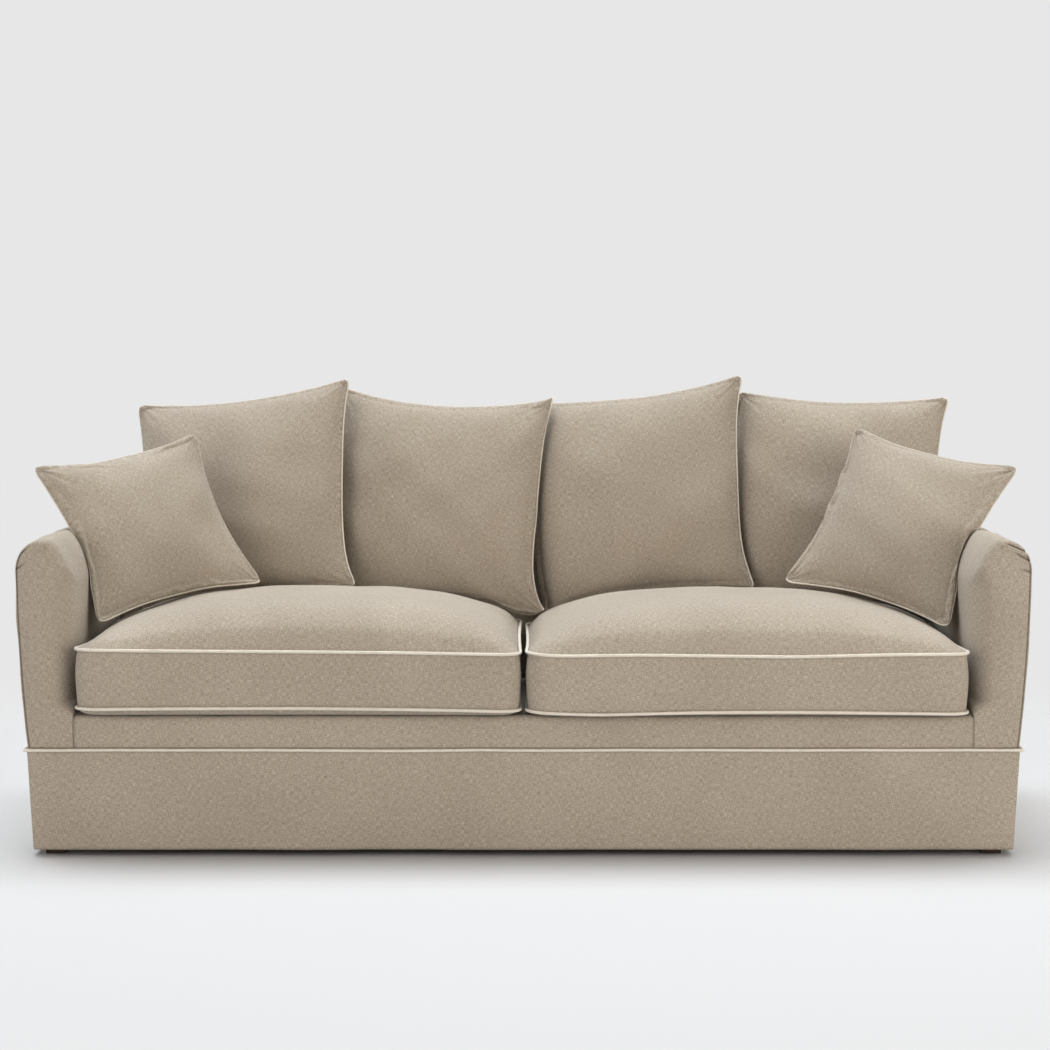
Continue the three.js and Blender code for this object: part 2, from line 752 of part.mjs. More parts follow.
// Share of the full crown at a place given from -1 to 1 across and along the cushion
function crownProfile(side, across, deep, travelling) {
  const armSide = across * side > 0;
  const power = armSide ? crownPowers.armSide : crownPowers.middleSide;
  const ease = armSide ? crownPowers.armEase : crownPowers.ease;
  const acrossPart = Math.max(1 - Math.abs(across) ** power, 0) ** ease;
  const peak = 2 * crownPeakShare - 1;
  const ahead = deep < peak;
  const fromPeak = ahead ? (peak - deep) / (1 + peak) : (deep - peak) / (1 - peak);
  const deepPower = ahead ? crownPowers.front : crownPowers.rear;
  const deepPart = Math.max(1 - fromPeak ** deepPower, 0) ** crownPowers.ease;
  return acrossPart * (travelling && ahead ? 1 : deepPart);
}

// Highest point that the seats reach over a place, at rest and while they are drawn forwards
function seatTopAt(x, y) {
  const tops = seatCushionShares.map((seat) => {
    const across = (x - seat.side * seatCentreX) / seatHalf;
    const deep = (y - seatCentreY) / seatDeepHalf;
    const seam = seatSeams(seat).upper;
    const inside = Math.abs(across) < 1 && deep < 1;
    const crown = inside ? seat.crownShare * seatCrown * crownProfile(seat.side, across, deep, true) : 0;
    return Math.max(seam + crown, seam + seatPipingReach);
  });
  return Math.max(...tops);
}

function seatStations(seat) {
  const plan = roundedPlan(
    seatHalf, seatDeepHalf, seatCornerRadius, seatCornerSteps, seatSideSteps, seatDeepSteps);
  return plan.map(({ outward, place }) => {
    const drawX = seatSideDraw * (1 - (place.y / seatDeepHalf) ** 2);
    const drawY = seatSideDraw * (1 - (place.x / seatHalf) ** 2);
    return { outward, place: place.sub(new THREE.Vector3(drawX * outward.x, drawY * outward.y, 0)) };
  });
}

for (const seat of seatCushionShares) {
  const { lower, upper } = seatSeams(seat);
  const stations = seatStations(seat);
  const origin = new THREE.Vector3(seat.side * seatCentreX, seatCentreY, 0);
  const ringAt = (height, out) => stations.map(({ outward, place }) =>
    place.clone().addScaledVector(outward, out).add(origin).setZ(height));
  const crownAt = (place) => upper + seat.crownShare * seatCrown
    * crownProfile(seat.side, place.x / seatHalf, place.y / seatDeepHalf, false);
  const crownRings = seatRingShares.map((share) => stations.map(({ place }) => {
    const inner = place.clone().multiplyScalar(share);
    return inner.clone().add(origin).setZ(crownAt(inner));
  }));
  const bottom = deckHeight + clearance;
  const rings = [
    ringAt(bottom, -seatBottomInset),
    ringAt(lower, 0),
    ringAt((lower + upper) / 2, seatBoxingBulge),
    ringAt(upper, 0),
    ...crownRings,
  ];
  const skin = ringSkin(rings,
    origin.clone().setZ(bottom),
    origin.clone().setZ(crownAt(new THREE.Vector3())));
  addPiece(`seat_cushion_${seat.name}`, skin, "linen");
  for (const [word, height] of [["top", upper], ["bottom", lower]]) {
    const seam = stations.map(({ outward, place }) => ({
      centre: place.clone().addScaledVector(outward, clearance + seatPipingRadius).add(origin)
        .setZ(height),
      outward,
      sideways: up,
    }));
    addPiece(`seat_piping_${word}_${seat.name}`,
      pipingLoop(seam, seatPipingRadius, pipingSides), "piping");
  }
}

// Loose cushions

const cushionPipingReach = 2 * (cushionPipingRadius + clearance);
const faceMargin = clearance + chordEase;
const seamMargin = cushionPipingReach + clearance + chordEase;
const seatSeamTop = deckHeight + seatSeamLift + seatBoxing;

// Places the cushion: turned about the upright, leant back, then rolled in its own plane
function placementOf({ place, turn, lean, roll }) {
  const tilt = new THREE.Euler(-lean, -roll, turn, "ZXY");
  return new THREE.Matrix4().makeRotationFromEuler(tilt).setPosition(place);
}

function backCushionSpec(shares, k) {
  const tall = shares.tallShare * backCushionSize;
  const z = seatSeamTop + shares.riseShare * tall;
  const off = shares.offShare * backCushionThickness / Math.cos(backRake);
  const place = new THREE.Vector3(shares.acrossShare * innerHalf, insideBackAt(z) - off, z);
  return {
    ...shares, place, tall, name: `${k + 1}`, wide: shares.wideShare * backCushionSize,
    thick: backCushionThickness, slump: backCushionSlump, bottomDrawShare, planes: [],
    matrix: placementOf({ ...shares, place }),
  };
}

function scatterCushionSpec(shares) {
  const tall = shares.tallShare * scatterSize;
  const z = seatSeamTop + shares.riseShare * tall;
  const off = shares.offShare * (backCushionThickness + scatterSize);
  const place = new THREE.Vector3(shares.acrossShare * innerHalf, insideBackAt(z) - off, z);
  return {
    ...shares, place, tall, wide: shares.wideShare * scatterSize, thick: scatterThickness,
    slump: scatterSlump, bottomDrawShare: scatterBottomDrawShare, planes: [],
    matrix: placementOf({ ...shares, place }),
  };
}

// The middle plane of a cushion, as a depth over a place across and up
function middleAt({ place, turn, lean }, x, z) {
  return place.y + (x - place.x) * Math.tan(turn) + (z - place.z) * Math.tan(lean);
}

// Shingled neighbours press on a shared plane that runs the way they slide up, along the raked back
function partNeighbours(front, behind) {
  const rightEdge = front.place.x + (front.wide / 2) * Math.cos(front.turn);
  const leftEdge = behind.place.x - (behind.wide / 2) * Math.cos(behind.turn);
  const x = (rightEdge + leftEdge) / 2;
  const z = (front.place.z + behind.place.z) / 2;
  const y = (middleAt(front, x, z) + middleAt(behind, x, z)) / 2;
  const along = new THREE.Vector3(Math.cos(partingTurn), Math.sin(partingTurn), 0);
  const rising = new THREE.Vector3(0, Math.sin(backRake), Math.cos(backRake));
  const forwards = new THREE.Vector3().crossVectors(along, rising).normalize();
  const point = new THREE.Vector3(x, y, z);
  front.planes.push({ point, normal: forwards });
  behind.planes.push({ point, normal: forwards.clone().negate() });
}

// Moves a point out of the arm, to a margin off the nearest stretch of its outline
const armSkin = armOutline(0, skirtSeamHeight).map(([x, z]) => new THREE.Vector2(x, z));
function clearArm(point, margin) {
  const side = Math.sign(point.x);
  const flat = new THREE.Vector2(Math.abs(point.x), point.z);
  let nearest = null;
  for (let k = 0; k + 1 < armSkin.length; k += 1) {
    const stretch = new THREE.Vector2().subVectors(armSkin[k + 1], armSkin[k]);
    const reach = new THREE.Vector2().subVectors(flat, armSkin[k]).dot(stretch) / stretch.lengthSq();
    const foot = armSkin[k].clone().addScaledVector(stretch, THREE.MathUtils.clamp(reach, 0, 1));
    const outward = new THREE.Vector2(-stretch.y, stretch.x).normalize();
    const height = new THREE.Vector2().subVectors(flat, foot).dot(outward);
    const distance = flat.distanceTo(foot);
    if (!nearest || distance < nearest.distance) {
      nearest = { distance, foot, outward, inside: height < 0 };
    }
  }
  if (nearest.inside || nearest.distance < margin) {
    const away = nearest.inside || nearest.distance === 0
      ? nearest.outward
      : new THREE.Vector2().subVectors(flat, nearest.foot).normalize();
    const moved = nearest.foot.addScaledVector(away, margin);
    point.set(side * moved.x, point.y, moved.y);
  }
}

// Presses a point clear of the seats, the back, the arms and the neighbours' planes. Flat facets lie
// evenly on the planes, which need no ease for them.
function settle(spec, point, margin) {
  const flatMargin = margin - chordEase;
  for (let pass = 0; pass < settlePasses; pass += 1) {
    for (const { point: base, normal } of spec.planes) {
      const height = new THREE.Vector3().subVectors(point, base).dot(normal);
      point.addScaledVector(normal, Math.max(flatMargin - height, 0));
    }
    point.y = Math.min(point.y, insideBackAt(point.z) - flatMargin / Math.cos(backRake));
    clearArm(point, margin);
    point.z = Math.max(point.z, seatTopAt(point.x, point.y) + margin);
  }
  return point;
}

function cushionPoint(spec, u, v, face) {
  const fill = (1 - u * u) * (1 - v * v);
  const draw = THREE.MathUtils.lerp(spec.bottomDrawShare, spec.topDrawShare, (1 + v) / 2);
  const across = (spec.wide / 2) * u * (1 - spec.sideDrawShare * (1 - v * v));
  const rise = (spec.tall / 2) * v * (1 - draw * (1 - u * u)) - spec.slump * fill;
  const out = face * (spec.thick / 2) * Math.max(fill, 0) ** plumpPower * (1 - lowFillShare * v);
  const point = new THREE.Vector3(across, -out, rise).applyMatrix4(spec.matrix);
  return settle(spec, point, THREE.MathUtils.lerp(faceMargin, seamMargin, (1 - fill) ** seamNearnessPower));
}

const gridLines = Array.from({ length: cushionGrid + 1 }, (_, k) => THREE.MathUtils.lerp(
  2 * (k / cushionGrid) - 1, -Math.cos((k / cushionGrid) * Math.PI), gridEaseShare));

// Front and back faces meet in the seam, a knife edge round the cushion
function cushionSkin(spec) {
  const points = [];
  const numbers = { 1: [], "-1": [] };
  for (const face of [1, -1]) {
    for (let row = 0; row <= cushionGrid; row += 1) {
      for (let column = 0; column <= cushionGrid; column += 1) {
        const onSeam = [row, column].some((k) => k === 0 || k === cushionGrid);
        const index = row * (cushionGrid + 1) + column;
        if (face < 0 && onSeam) {
          numbers[face][index] = numbers[1][index];
        } else {
          numbers[face][index] = points.length;
          points.push(cushionPoint(spec, gridLines[column], gridLines[row], onSeam ? 0 : face));
        }
      }
    }
  }
  const triangles = [];
  for (let row = 0; row < cushionGrid; row += 1) {
    for (let column = 0; column < cushionGrid; column += 1) {
      const corner = row * (cushionGrid + 1) + column;
      const [a, b, c, d] = [corner, corner + 1, corner + cushionGrid + 2, corner + cushionGrid + 1];
      const front = [a, b, c, d].map((index) => numbers[1][index]);
      const rear = [a, b, c, d].map((index) => numbers[-1][index]);
      const split = (row < cushionGrid / 2) === (column < cushionGrid / 2);
      const pairs = split ? [[0, 1, 2], [0, 2, 3]] : [[0, 1, 3], [1, 2, 3]];
      for (const [p, q, r] of pairs) {
        triangles.push([front[p], front[q], front[r]], [rear[p], rear[r], rear[q]]);
      }
    }
  }
  return closedSkin(points, triangles);
}

// The seam's own points carry the piping, so that it lies along the cushion facet by facet
function cushionPiping(spec, radius) {
  const rising = gridLines.slice(0, -1);
  const falling = gridLines.slice(1).reverse();
  const seam = [
    ...rising.map((u) => [u, -1]),
    ...rising.map((v) => [1, v]),
    ...falling.map((u) => [u, 1]),
    ...falling.map((v) => [-1, v]),
  ];
  const places = seam.map(([u, v]) => cushionPoint(spec, u, v, 0));
  const sideways = new THREE.Vector3(0, 1, 0).transformDirection(spec.matrix);
  const stations = places.map((place, k) => {
    const before = places[(k + places.length - 1) % places.length];
    const after = places[(k + 1) % places.length];
    const arriving = new THREE.Vector3().subVectors(place, before).normalize();
    const leaving = new THREE.Vector3().subVectors(after, place).normalize();
    const along = new THREE.Vector3().addVectors(arriving, leaving);
    const mitre = Math.max(along.length() / 2, leastMitre);
    const outward = new THREE.Vector3().crossVectors(sideways, along).normalize();
    const off = (cushionPipingRadius + clearance) / mitre;
    return {
      centre: place.clone().addScaledVector(outward, off),
      outward,
      sideways: new THREE.Vector3().crossVectors(outward, along).normalize(),
    };
  });
  return pipingLoop(stations, radius, slimPipingSides);
}

const backSpecs = backCushionShares.map(backCushionSpec);
for (let k = 0; k + 1 < backSpecs.length; k += 1) {
  partNeighbours(backSpecs[k], backSpecs[k + 1]);
}
// What leans on an arm is pressed flat there, and a crushed corner leaves room for its own piping
const armRooms = [-1, 1].map((side) => armSolid(side, -clearance, coverHem));
function addCushion(word, spec) {
  const pipingRoom = cushionPiping(spec, cushionPipingRadius + clearance / 2);
  const cushion = cutBy(cushionSkin(spec), [...armRooms, pipingRoom]);
  addPiece(`${word}_cushion_${spec.name}`, cushion, "linen");
  const piping = cutBy(cushionPiping(spec, cushionPipingRadius), armRooms);
  addPiece(`${word}_piping_${spec.name}`, piping, "piping");
}
backSpecs.forEach((spec) => addCushion("back", spec));
scatterCushionShares.map(scatterCushionSpec).forEach((spec) => addCushion("scatter", spec));

export default sofa;
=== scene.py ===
import math
import bpy
import numpy as np
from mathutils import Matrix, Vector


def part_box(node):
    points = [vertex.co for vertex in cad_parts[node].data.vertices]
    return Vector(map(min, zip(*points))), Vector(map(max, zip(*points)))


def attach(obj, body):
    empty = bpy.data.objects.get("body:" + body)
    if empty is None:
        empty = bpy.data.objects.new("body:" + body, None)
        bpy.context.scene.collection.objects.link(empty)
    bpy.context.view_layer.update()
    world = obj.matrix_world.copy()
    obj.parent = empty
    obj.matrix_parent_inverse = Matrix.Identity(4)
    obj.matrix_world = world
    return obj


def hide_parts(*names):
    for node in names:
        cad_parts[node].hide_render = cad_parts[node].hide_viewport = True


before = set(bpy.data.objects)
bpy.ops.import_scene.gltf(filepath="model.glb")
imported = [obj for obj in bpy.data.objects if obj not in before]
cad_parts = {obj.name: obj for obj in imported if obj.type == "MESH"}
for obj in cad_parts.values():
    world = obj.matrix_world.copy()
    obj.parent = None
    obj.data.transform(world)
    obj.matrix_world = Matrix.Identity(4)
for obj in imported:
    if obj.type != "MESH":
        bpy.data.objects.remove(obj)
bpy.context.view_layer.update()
print("frame loaded:", len(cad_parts), "nodes")

# Sizes of the whole sofa in metres: X to the viewer's right, -Y to the front, Z up
sofa = {
    "innerHalf": 0.956,      # middle to the inner face of an arm
    "armBase": 1.053,        # middle to the foot of the outer face
    "front": -0.4407,        # arms and apron
    "rear": 0.4678,
    "armTop": 0.676,
    "backTop": 0.785,
    "deck": 0.300,
    "skirtSeam": 0.231,
    "hem": 0.015,
    "backRake": math.radians(16),
    "backTopFront": 0.311,   # depth of the raked inside back at its top
    "cloth": 0.0025,
    "gap": 0.0003,
}


# Plain helpers

def lerp(a, b, share):
    return a + (b - a) * share


def smooth(share):  # 0 to 1 with level ends: 3 s2 - 2 s3
    share = np.clip(share, 0, 1)
    return share * share * (3 - 2 * share)


def rising(x, start, span):  # 0 up to the start, 1 a span after it
    return smooth((x - start) / span)


def falling(x, end, span):  # 1 until a span before the end, 0 from the end on
    return smooth((end - x) / span)


def bump(x, middle, width):  # bell curve: e to the minus ((x - middle) / width) squared
    return np.exp(-((x - middle) / width) ** 2)


def stacked(*parts):  # a grid of vectors from their coordinates
    return np.stack(np.broadcast_arrays(*parts), -1)


def unit(rows):  # each row brought to length 1
    return rows / np.linalg.norm(rows, axis=1, keepdims=True)


# Smooth random field about -1 to 1: sine waves of nearly one length, with random headings and phases
def softNoise(a, b, length, seed, waves=10):
    random = np.random.RandomState(seed)
    total = 0
    for heading, phase, stretch in zip(random.uniform(0, 2 * math.pi, waves),
                                       random.uniform(0, 2 * math.pi, waves),
                                       random.uniform(0.7, 1.5, waves)):
        number = 2 * math.pi / (length * stretch)
        total = total + np.sin((a * math.cos(heading) + b * math.sin(heading)) * number + phase)
    return total / math.sqrt(waves)


def insideBackAt(z):  # depth of the raked inside back at a height
    return sofa["backTopFront"] - (sofa["backTop"] - z) * math.tan(sofa["backRake"])


# Collects grids of points and the patches between them
class Surface:
    def __init__(self):
        self.count, self.points = 0, []
        self.quads, self.quadMaps = [np.zeros((0, 4), int)], [np.zeros((0, 4, 2))]
        self.triangles, self.triangleMaps = [np.zeros((0, 3), int)], [np.zeros((0, 3, 2))]

    def addGrid(self, grid):
        grid = np.asarray(grid, float)
        numbers = self.count + np.arange(grid[..., 0].size).reshape(grid.shape[:-1])
        self.points.append(grid.reshape(-1, 3))
        self.count += grid[..., 0].size
        return numbers

    def addPatch(self, numbers, cloth):  # quads of a grid of point numbers, cloth is its map in metres
        def corners(values):
            return [values[:-1, :-1], values[:-1, 1:], values[1:, 1:], values[1:, :-1]]
        self.quads.append(np.stack(corners(numbers), -1).reshape(-1, 4))
        self.quadMaps.append(np.stack(corners(cloth), 2).reshape(-1, 4, 2))

    def addFan(self, pole, ring, poleCloth, ringCloth):  # triangles from one point to an open row
        count = len(ring) - 1
        self.triangles.append(np.stack([np.full(count, pole), ring[:-1], ring[1:]], -1))
        centre = np.broadcast_to(np.asarray(poleCloth, float), (count, 2))
        self.triangleMaps.append(np.stack([centre, ringCloth[:-1], ringCloth[1:]], 1))

    def replace(self, change):  # change(a, b, c) gives the x, y and z of every point
        self.points = [np.stack(change(*points.T), 1) for points in self.points]
        return self

    def arrays(self):
        return [np.concatenate(parts) for parts in
                (self.points, self.quads, self.quadMaps, self.triangles, self.triangleMaps)]


# Area-weighted normal at each point, from the crossed diagonals of quads and sides of triangles
def pointNormals(points, quads, triangles):
    normals = np.zeros_like(points)
    for faces, second in ((quads, 1), (triangles, 0)):
        facing = np.cross(points[faces[:, -2]] - points[faces[:, 0]],
                          points[faces[:, -1]] - points[faces[:, second]])
        for corner in faces.T:
            np.add.at(normals, corner, facing)
    return normals / np.maximum(np.linalg.norm(normals, axis=1, keepdims=True), 1e-12)


# Adds an inner copy of an open surface, thickness behind its normals, and joins the two along their rims
def walled(points, quads, quadMaps, triangles, triangleMaps, thickness):
    count, normals = len(points), pointNormals(points, quads, triangles)
    edges = np.concatenate([np.stack([faces, np.roll(faces, -1, 1)], -1).reshape(-1, 2)
                            for faces in (quads, triangles)])
    key = np.sort(edges, 1) @ [count, 1]
    found, first, uses = np.unique(key, return_index=True, return_counts=True)
    rim = edges[first[uses == 1]]
    rimQuads = np.column_stack([rim[:, 1], rim[:, 0], rim[:, 0] + count, rim[:, 1] + count])
    rimMaps = np.broadcast_to([[0, 0], [thickness, 0], [thickness, thickness], [0, thickness]],
                              (len(rim), 4, 2))
    return (np.concatenate([points, points - normals * thickness]),
            np.concatenate([quads, quads[:, ::-1] + count, rimQuads]),
            np.concatenate([quadMaps, quadMaps[:, ::-1], rimMaps]),
            np.concatenate([triangles, triangles[:, ::-1] + count]),
            np.concatenate([triangleMaps, triangleMaps[:, ::-1]]))


def addObject(name, data):
    thing = bpy.data.objects.new(name, data)
    bpy.context.scene.collection.objects.link(thing)
    return thing


# Turns a surface outwards, moves its points along their normals and makes the mesh object
def makePiece(name, surface, material, inside=None, relief=None, shade=None, wall=None):
    points, *faces = surface.arrays()
    normals = pointNormals(points, faces[0], faces[2])
    inside = points.mean(0) if inside is None else np.asarray(inside)
    if ((points - inside) * normals).sum(1).mean() < 0:
        faces, normals = [part[:, ::-1] for part in faces], -normals
    if relief is not None:
        points = points + normals * relief(points, normals)[:, None]
    if wall:
        points, *faces = walled(points, *faces, wall)
    quads, quadMaps, triangles, triangleMaps = faces
    mesh = bpy.data.meshes.new(name)
    mesh.from_pydata(points.tolist(), [], quads.tolist() + triangles.tolist())
    clothMap = mesh.uv_layers.new(name="clothMap")
    clothMap.data.foreach_set("uv", np.concatenate([quadMaps.ravel(), triangleMaps.ravel()]))
    if shade is not None:
        seamShade = mesh.attributes.new("seamShade", "FLOAT", "POINT")
        seamShade.data.foreach_set("value", np.asarray(shade(points), np.float32))
    mesh.polygons.foreach_set("use_smooth", np.ones(len(mesh.polygons), bool))
    mesh.materials.append(material)
    mesh.update()
    return addObject(name, mesh)


def settlePiece(piece, body, slotName, *nodes):
    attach(piece, body)
    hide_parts(*nodes)


# Paths in a plane

def bezier(a, b, c, d, steps):  # cubic through a and d, pulled by b and c
    t = np.linspace(0, 1, steps + 1)[:, None]
    a, b, c, d = (np.asarray(point, float) for point in (a, b, c, d))
    return (1 - t) ** 3 * a + 3 * (1 - t) ** 2 * t * b + 3 * (1 - t) * t * t * c + t ** 3 * d


def lengthsAlong(path):
    return np.concatenate([[0], np.cumsum(np.linalg.norm(np.diff(path, axis=0), axis=1))])


def resampled(path, count):  # the same path with evenly spaced points
    along = lengthsAlong(path)
    wanted = np.linspace(0, along[-1], count)
    return np.stack([np.interp(wanted, along, axis) for axis in path.T], 1)


def leftOf(path):  # unit vector to the left of an open path in a plane
    heading = unit(np.gradient(path, axis=0))
    return np.stack([-heading[:, 1], heading[:, 0]], 1)


# Closed tube round a closed row of centres: centre + radius (outward cos + sideways sin)
def tubeLoop(centres, outward, sideways, radius, sides):
    angle = np.linspace(0, 2 * math.pi, sides, endpoint=False)
    ring = (centres[:, None] + radius * (outward[:, None] * np.cos(angle)[:, None]
                                         + sideways[:, None] * np.sin(angle)[:, None]))
    surface = Surface()
    numbers = surface.addGrid(ring)
    numbers = np.concatenate([numbers, numbers[:1]], 0)
    numbers = np.concatenate([numbers, numbers[:, :1]], 1)
    along = lengthsAlong(np.concatenate([centres, centres[:1]], 0))
    around = np.linspace(0, 2 * math.pi * radius, sides + 1)
    surface.addPatch(numbers, np.stack(np.meshgrid(along, around, indexing="ij"), -1))
    return surface


# Materials

def tone(red, green, blue):  # a colour given as it looks on a screen, 0 to 255
    channels = [channel / 255 for channel in (red, green, blue)]
    return [c / 12.92 if c <= 0.04045 else ((c + 0.055) / 1.055) ** 2.4 for c in channels] + [1]


def newMaterial(name, **values):  # values are set on the sockets of its surface shader
    material = bpy.data.materials.new(name)
    material.use_nodes = True
    shader = material.node_tree.nodes["Principled BSDF"]
    for socket, value in values.items():
        shader.inputs[socket.replace("_", " ")].default_value = value
    return material, material.node_tree, shader


# Adds a node, sets it and fills its inputs, each with a value or another node's output
def addNode(tree, kind, output, inputs=None, **settings):
    node = tree.nodes.new(kind)
    for setting, value in settings.items():
        setattr(node, setting, value)
    for socket, value in (inputs or {}).items():
        if isinstance(value, bpy.types.NodeSocket):
            tree.links.new(value, node.inputs[socket])
        else:
            node.inputs[socket].default_value = value
    return node.outputs[output]


def ownPlace(tree):  # place on the piece's own axes
    return addNode(tree, "ShaderNodeTexCoord", "Object")


def clothPlace(tree):  # place on the piece's own cloth, in metres
    return addNode(tree, "ShaderNodeUVMap", "UV", uv_map="clothMap")


def noiseOn(tree, place, stretch, detail=1.0, roughness=0.5):  # noise, finer where stretch is higher
    place = addNode(tree, "ShaderNodeMapping", "Vector", {"Vector": place, "Scale": stretch})
    return addNode(tree, "ShaderNodeTexNoise", "Fac",
                   {"Vector": place, "Scale": 1.0, "Detail": detail, "Roughness": roughness})


def bandsOn(tree, place, direction, pitch):  # even bands, pitch metres apart
    return addNode(tree, "ShaderNodeTexWave", "Fac", {"Vector": place, "Scale": math.pi / 10 / pitch},
                   wave_type="BANDS", bands_direction=direction)


def mathOf(tree, operation, first, second):
    return addNode(tree, "ShaderNodeMath", "Value", {0: first, 1: second}, operation=operation)


def sumOf(tree, *parts):  # each part is an output, or a pair of an output and its share
    terms = [mathOf(tree, "MULTIPLY", *part) if isinstance(part, tuple) else part for part in parts]
    total = terms[0]
    for term in terms[1:]:
        total = mathOf(tree, "ADD", total, term)
    return total


def rampOf(tree, source, *stops):  # colour ramp from pairs of a place and a tone
    ramp = tree.nodes.new("ShaderNodeValToRGB")
    elements = ramp.color_ramp.elements
    while len(elements) < len(stops):
        elements.new(0.5)
    for element, (place, colour) in zip(elements, stops):
        element.position, element.color = place, tone(*colour)
    tree.links.new(source, ramp.inputs["Fac"])
    return ramp.outputs["Color"]


def bumpOf(tree, shader, height, strength, distance):
    relief = addNode(tree, "ShaderNodeBump", "Normal",
                     {"Strength": strength, "Distance": distance, "Height": height})
    tree.links.new(relief, shader.inputs["Normal"])


linen = {
    "dark": (116, 104, 89),
    "middle": (162, 150, 133),
    "light": (201, 190, 175),
    # painted shade: the dark tone that seams, crease valleys and joins between covers are mixed towards
    "seam": (74, 64, 54),
    "threadPitch": 0.0012,
    "slubs": (660, 110),     # streaks across a metre, and along it
    "speckle": 620,          # specks across a metre
    "speckleShare": 0.6,
    "driftShare": 0.25,
}


# Heathered linen: slubs of warp and weft, a fine speckle and a broad drift of tone, over a plain weave, mixed
# towards a dark painted shade tone where a piece's seamShade attribute marks seams, creases and joins
def makeLinen():
    material, tree, shader = newMaterial("linen", Roughness=0.9, Sheen_Weight=0.2, Sheen_Roughness=0.45,
                                         Specular_IOR_Level=0.2)
    place = clothPlace(tree)
    warp = noiseOn(tree, place, (*linen["slubs"], 1), 2)
    weft = noiseOn(tree, place, (*linen["slubs"][::-1], 1), 2)
    speckle = noiseOn(tree, place, (linen["speckle"], linen["speckle"], 1), 2)
    drift = noiseOn(tree, ownPlace(tree), (5, 5, 5), 3)
    threads = sumOf(tree, warp, weft, (speckle, linen["speckleShare"]), (drift, linen["driftShare"]))
    share = mathOf(tree, "DIVIDE", threads, 2 + linen["speckleShare"] + linen["driftShare"])
    colour = rampOf(tree, share, (0.32, linen["dark"]), (0.5, linen["middle"]), (0.68, linen["light"]))
    # painted shade: the seamShade attribute mixes the colour towards the dark seam tone
    seam = addNode(tree, "ShaderNodeAttribute", "Fac", attribute_name="seamShade")
    mixed = addNode(tree, "ShaderNodeMix", 2, {0: seam, 6: colour, 7: tone(*linen["seam"])},
                    data_type="RGBA")
    tree.links.new(mixed, shader.inputs["Base Color"])
    over, under = (bandsOn(tree, place, axis, linen["threadPitch"]) for axis in "XY")
    bumpOf(tree, shader, sumOf(tree, (over, under), threads), 0.55, 0.0005)
    return material


pipingCloth = {
    "dark": (182, 171, 154),
    "light": (222, 214, 199),
    "twillPitch": 0.0016,
    "slant": math.radians(42),
}


# Cream cotton cut on the bias: slanting twill lines, faint soiling
def makePipingCloth():
    material, tree, shader = newMaterial("creamPiping", Roughness=0.85, Sheen_Weight=0.25,
                                         Sheen_Roughness=0.4, Specular_IOR_Level=0.25)
    place = clothPlace(tree)
    slanting = addNode(tree, "ShaderNodeMapping", "Vector",
                       {"Vector": place, "Rotation": (0, 0, pipingCloth["slant"])})
    twill = bandsOn(tree, slanting, "X", pipingCloth["twillPitch"])
    drift = noiseOn(tree, place, (40, 200, 1), 3)
    colour = rampOf(tree, sumOf(tree, (twill, 0.35), (drift, 0.9)), (0.2, pipingCloth["dark"]),
                    (0.75, pipingCloth["light"]))
    tree.links.new(colour, shader.inputs["Base Color"])
    bumpOf(tree, shader, twill, 0.5, 0.0004)
    return material


timber = {
    "beechDark": (168, 122, 76),
    "beechLight": (208, 166, 116),
    "stainDark": (24, 17, 13),
    "stainLight": (62, 44, 32),
    "grain": (90, 5),        # lines across a metre, and along it
    "flecks": (900, 120),
}


# Wood whose grain runs along one axis, with short flecks between the lines
def makeTimber(name, axis, dark, light, roughness):
    material, tree, shader = newMaterial(name, Roughness=roughness, Specular_IOR_Level=0.4)
    place = ownPlace(tree)

    def lines(counts, *detail):
        stretch = [counts[0]] * 3
        stretch[axis] = counts[1]
        return noiseOn(tree, place, stretch, *detail)

    share = sumOf(tree, (lines(timber["grain"], 4, 0.6), 0.8), (lines(timber["flecks"], 1), 0.2))
    tree.links.new(rampOf(tree, share, (0.32, dark), (0.68, light)), shader.inputs["Base Color"])
    bumpOf(tree, shader, share, 0.3, 0.0006)
    return material


# Any other finish: two tones mixed by a noise of one size, with the same noise as its relief
def makeGrained(name, dark, light, fineness, roughness, relief, metallic=0.0):
    material, tree, shader = newMaterial(name, Roughness=roughness, Metallic=metallic)
    place = ownPlace(tree)
    fine = noiseOn(tree, place, (fineness, fineness, fineness), 3, 0.6)
    broad = noiseOn(tree, place, (9, 9, 9), 2)
    colour = rampOf(tree, sumOf(tree, (fine, 0.7), (broad, 0.3)), (0.35, dark), (0.65, light))
    tree.links.new(colour, shader.inputs["Base Color"])
    bumpOf(tree, shader, fine, 0.5, relief)
    return material


# Plain canvas on the rails' own axes: crossed bands and a drift
def makeCanvas(dark, light, pitch):
    material, tree, shader = newMaterial("canvasCloth", Roughness=0.95)
    place = ownPlace(tree)
    weave = mathOf(tree, "MULTIPLY", *(bandsOn(tree, place, axis, pitch) for axis in "XZ"))
    drift = noiseOn(tree, place, (60, 60, 60), 3)
    colour = rampOf(tree, sumOf(tree, (weave, 0.3), drift), (0.3, dark), (0.8, light))
    tree.links.new(colour, shader.inputs["Base Color"])
    bumpOf(tree, shader, weave, 0.4, 0.0008)
    return material


linenMaterial = makeLinen()
pipingMaterial = makePipingCloth()
beech = [makeTimber("beech" + letter, axis, timber["beechDark"], timber["beechLight"], 0.55)
         for axis, letter in enumerate("XYZ")]
stainedWood = makeTimber("stainedWood", 2, timber["stainDark"], timber["stainLight"], 0.4)
foam = makeGrained("foam", (214, 200, 158), (238, 228, 194), 420, 0.95, 0.0012)
springSteel = makeGrained("springSteel", (88, 92, 98), (142, 146, 152), 260, 0.38, 0.0002, 0.9)
dustCloth = makeGrained("dustCloth", (16, 16, 17), (34, 34, 36), 700, 0.95, 0.0005)
canvasCloth = makeCanvas((176, 163, 134), (216, 206, 180), 0.003)

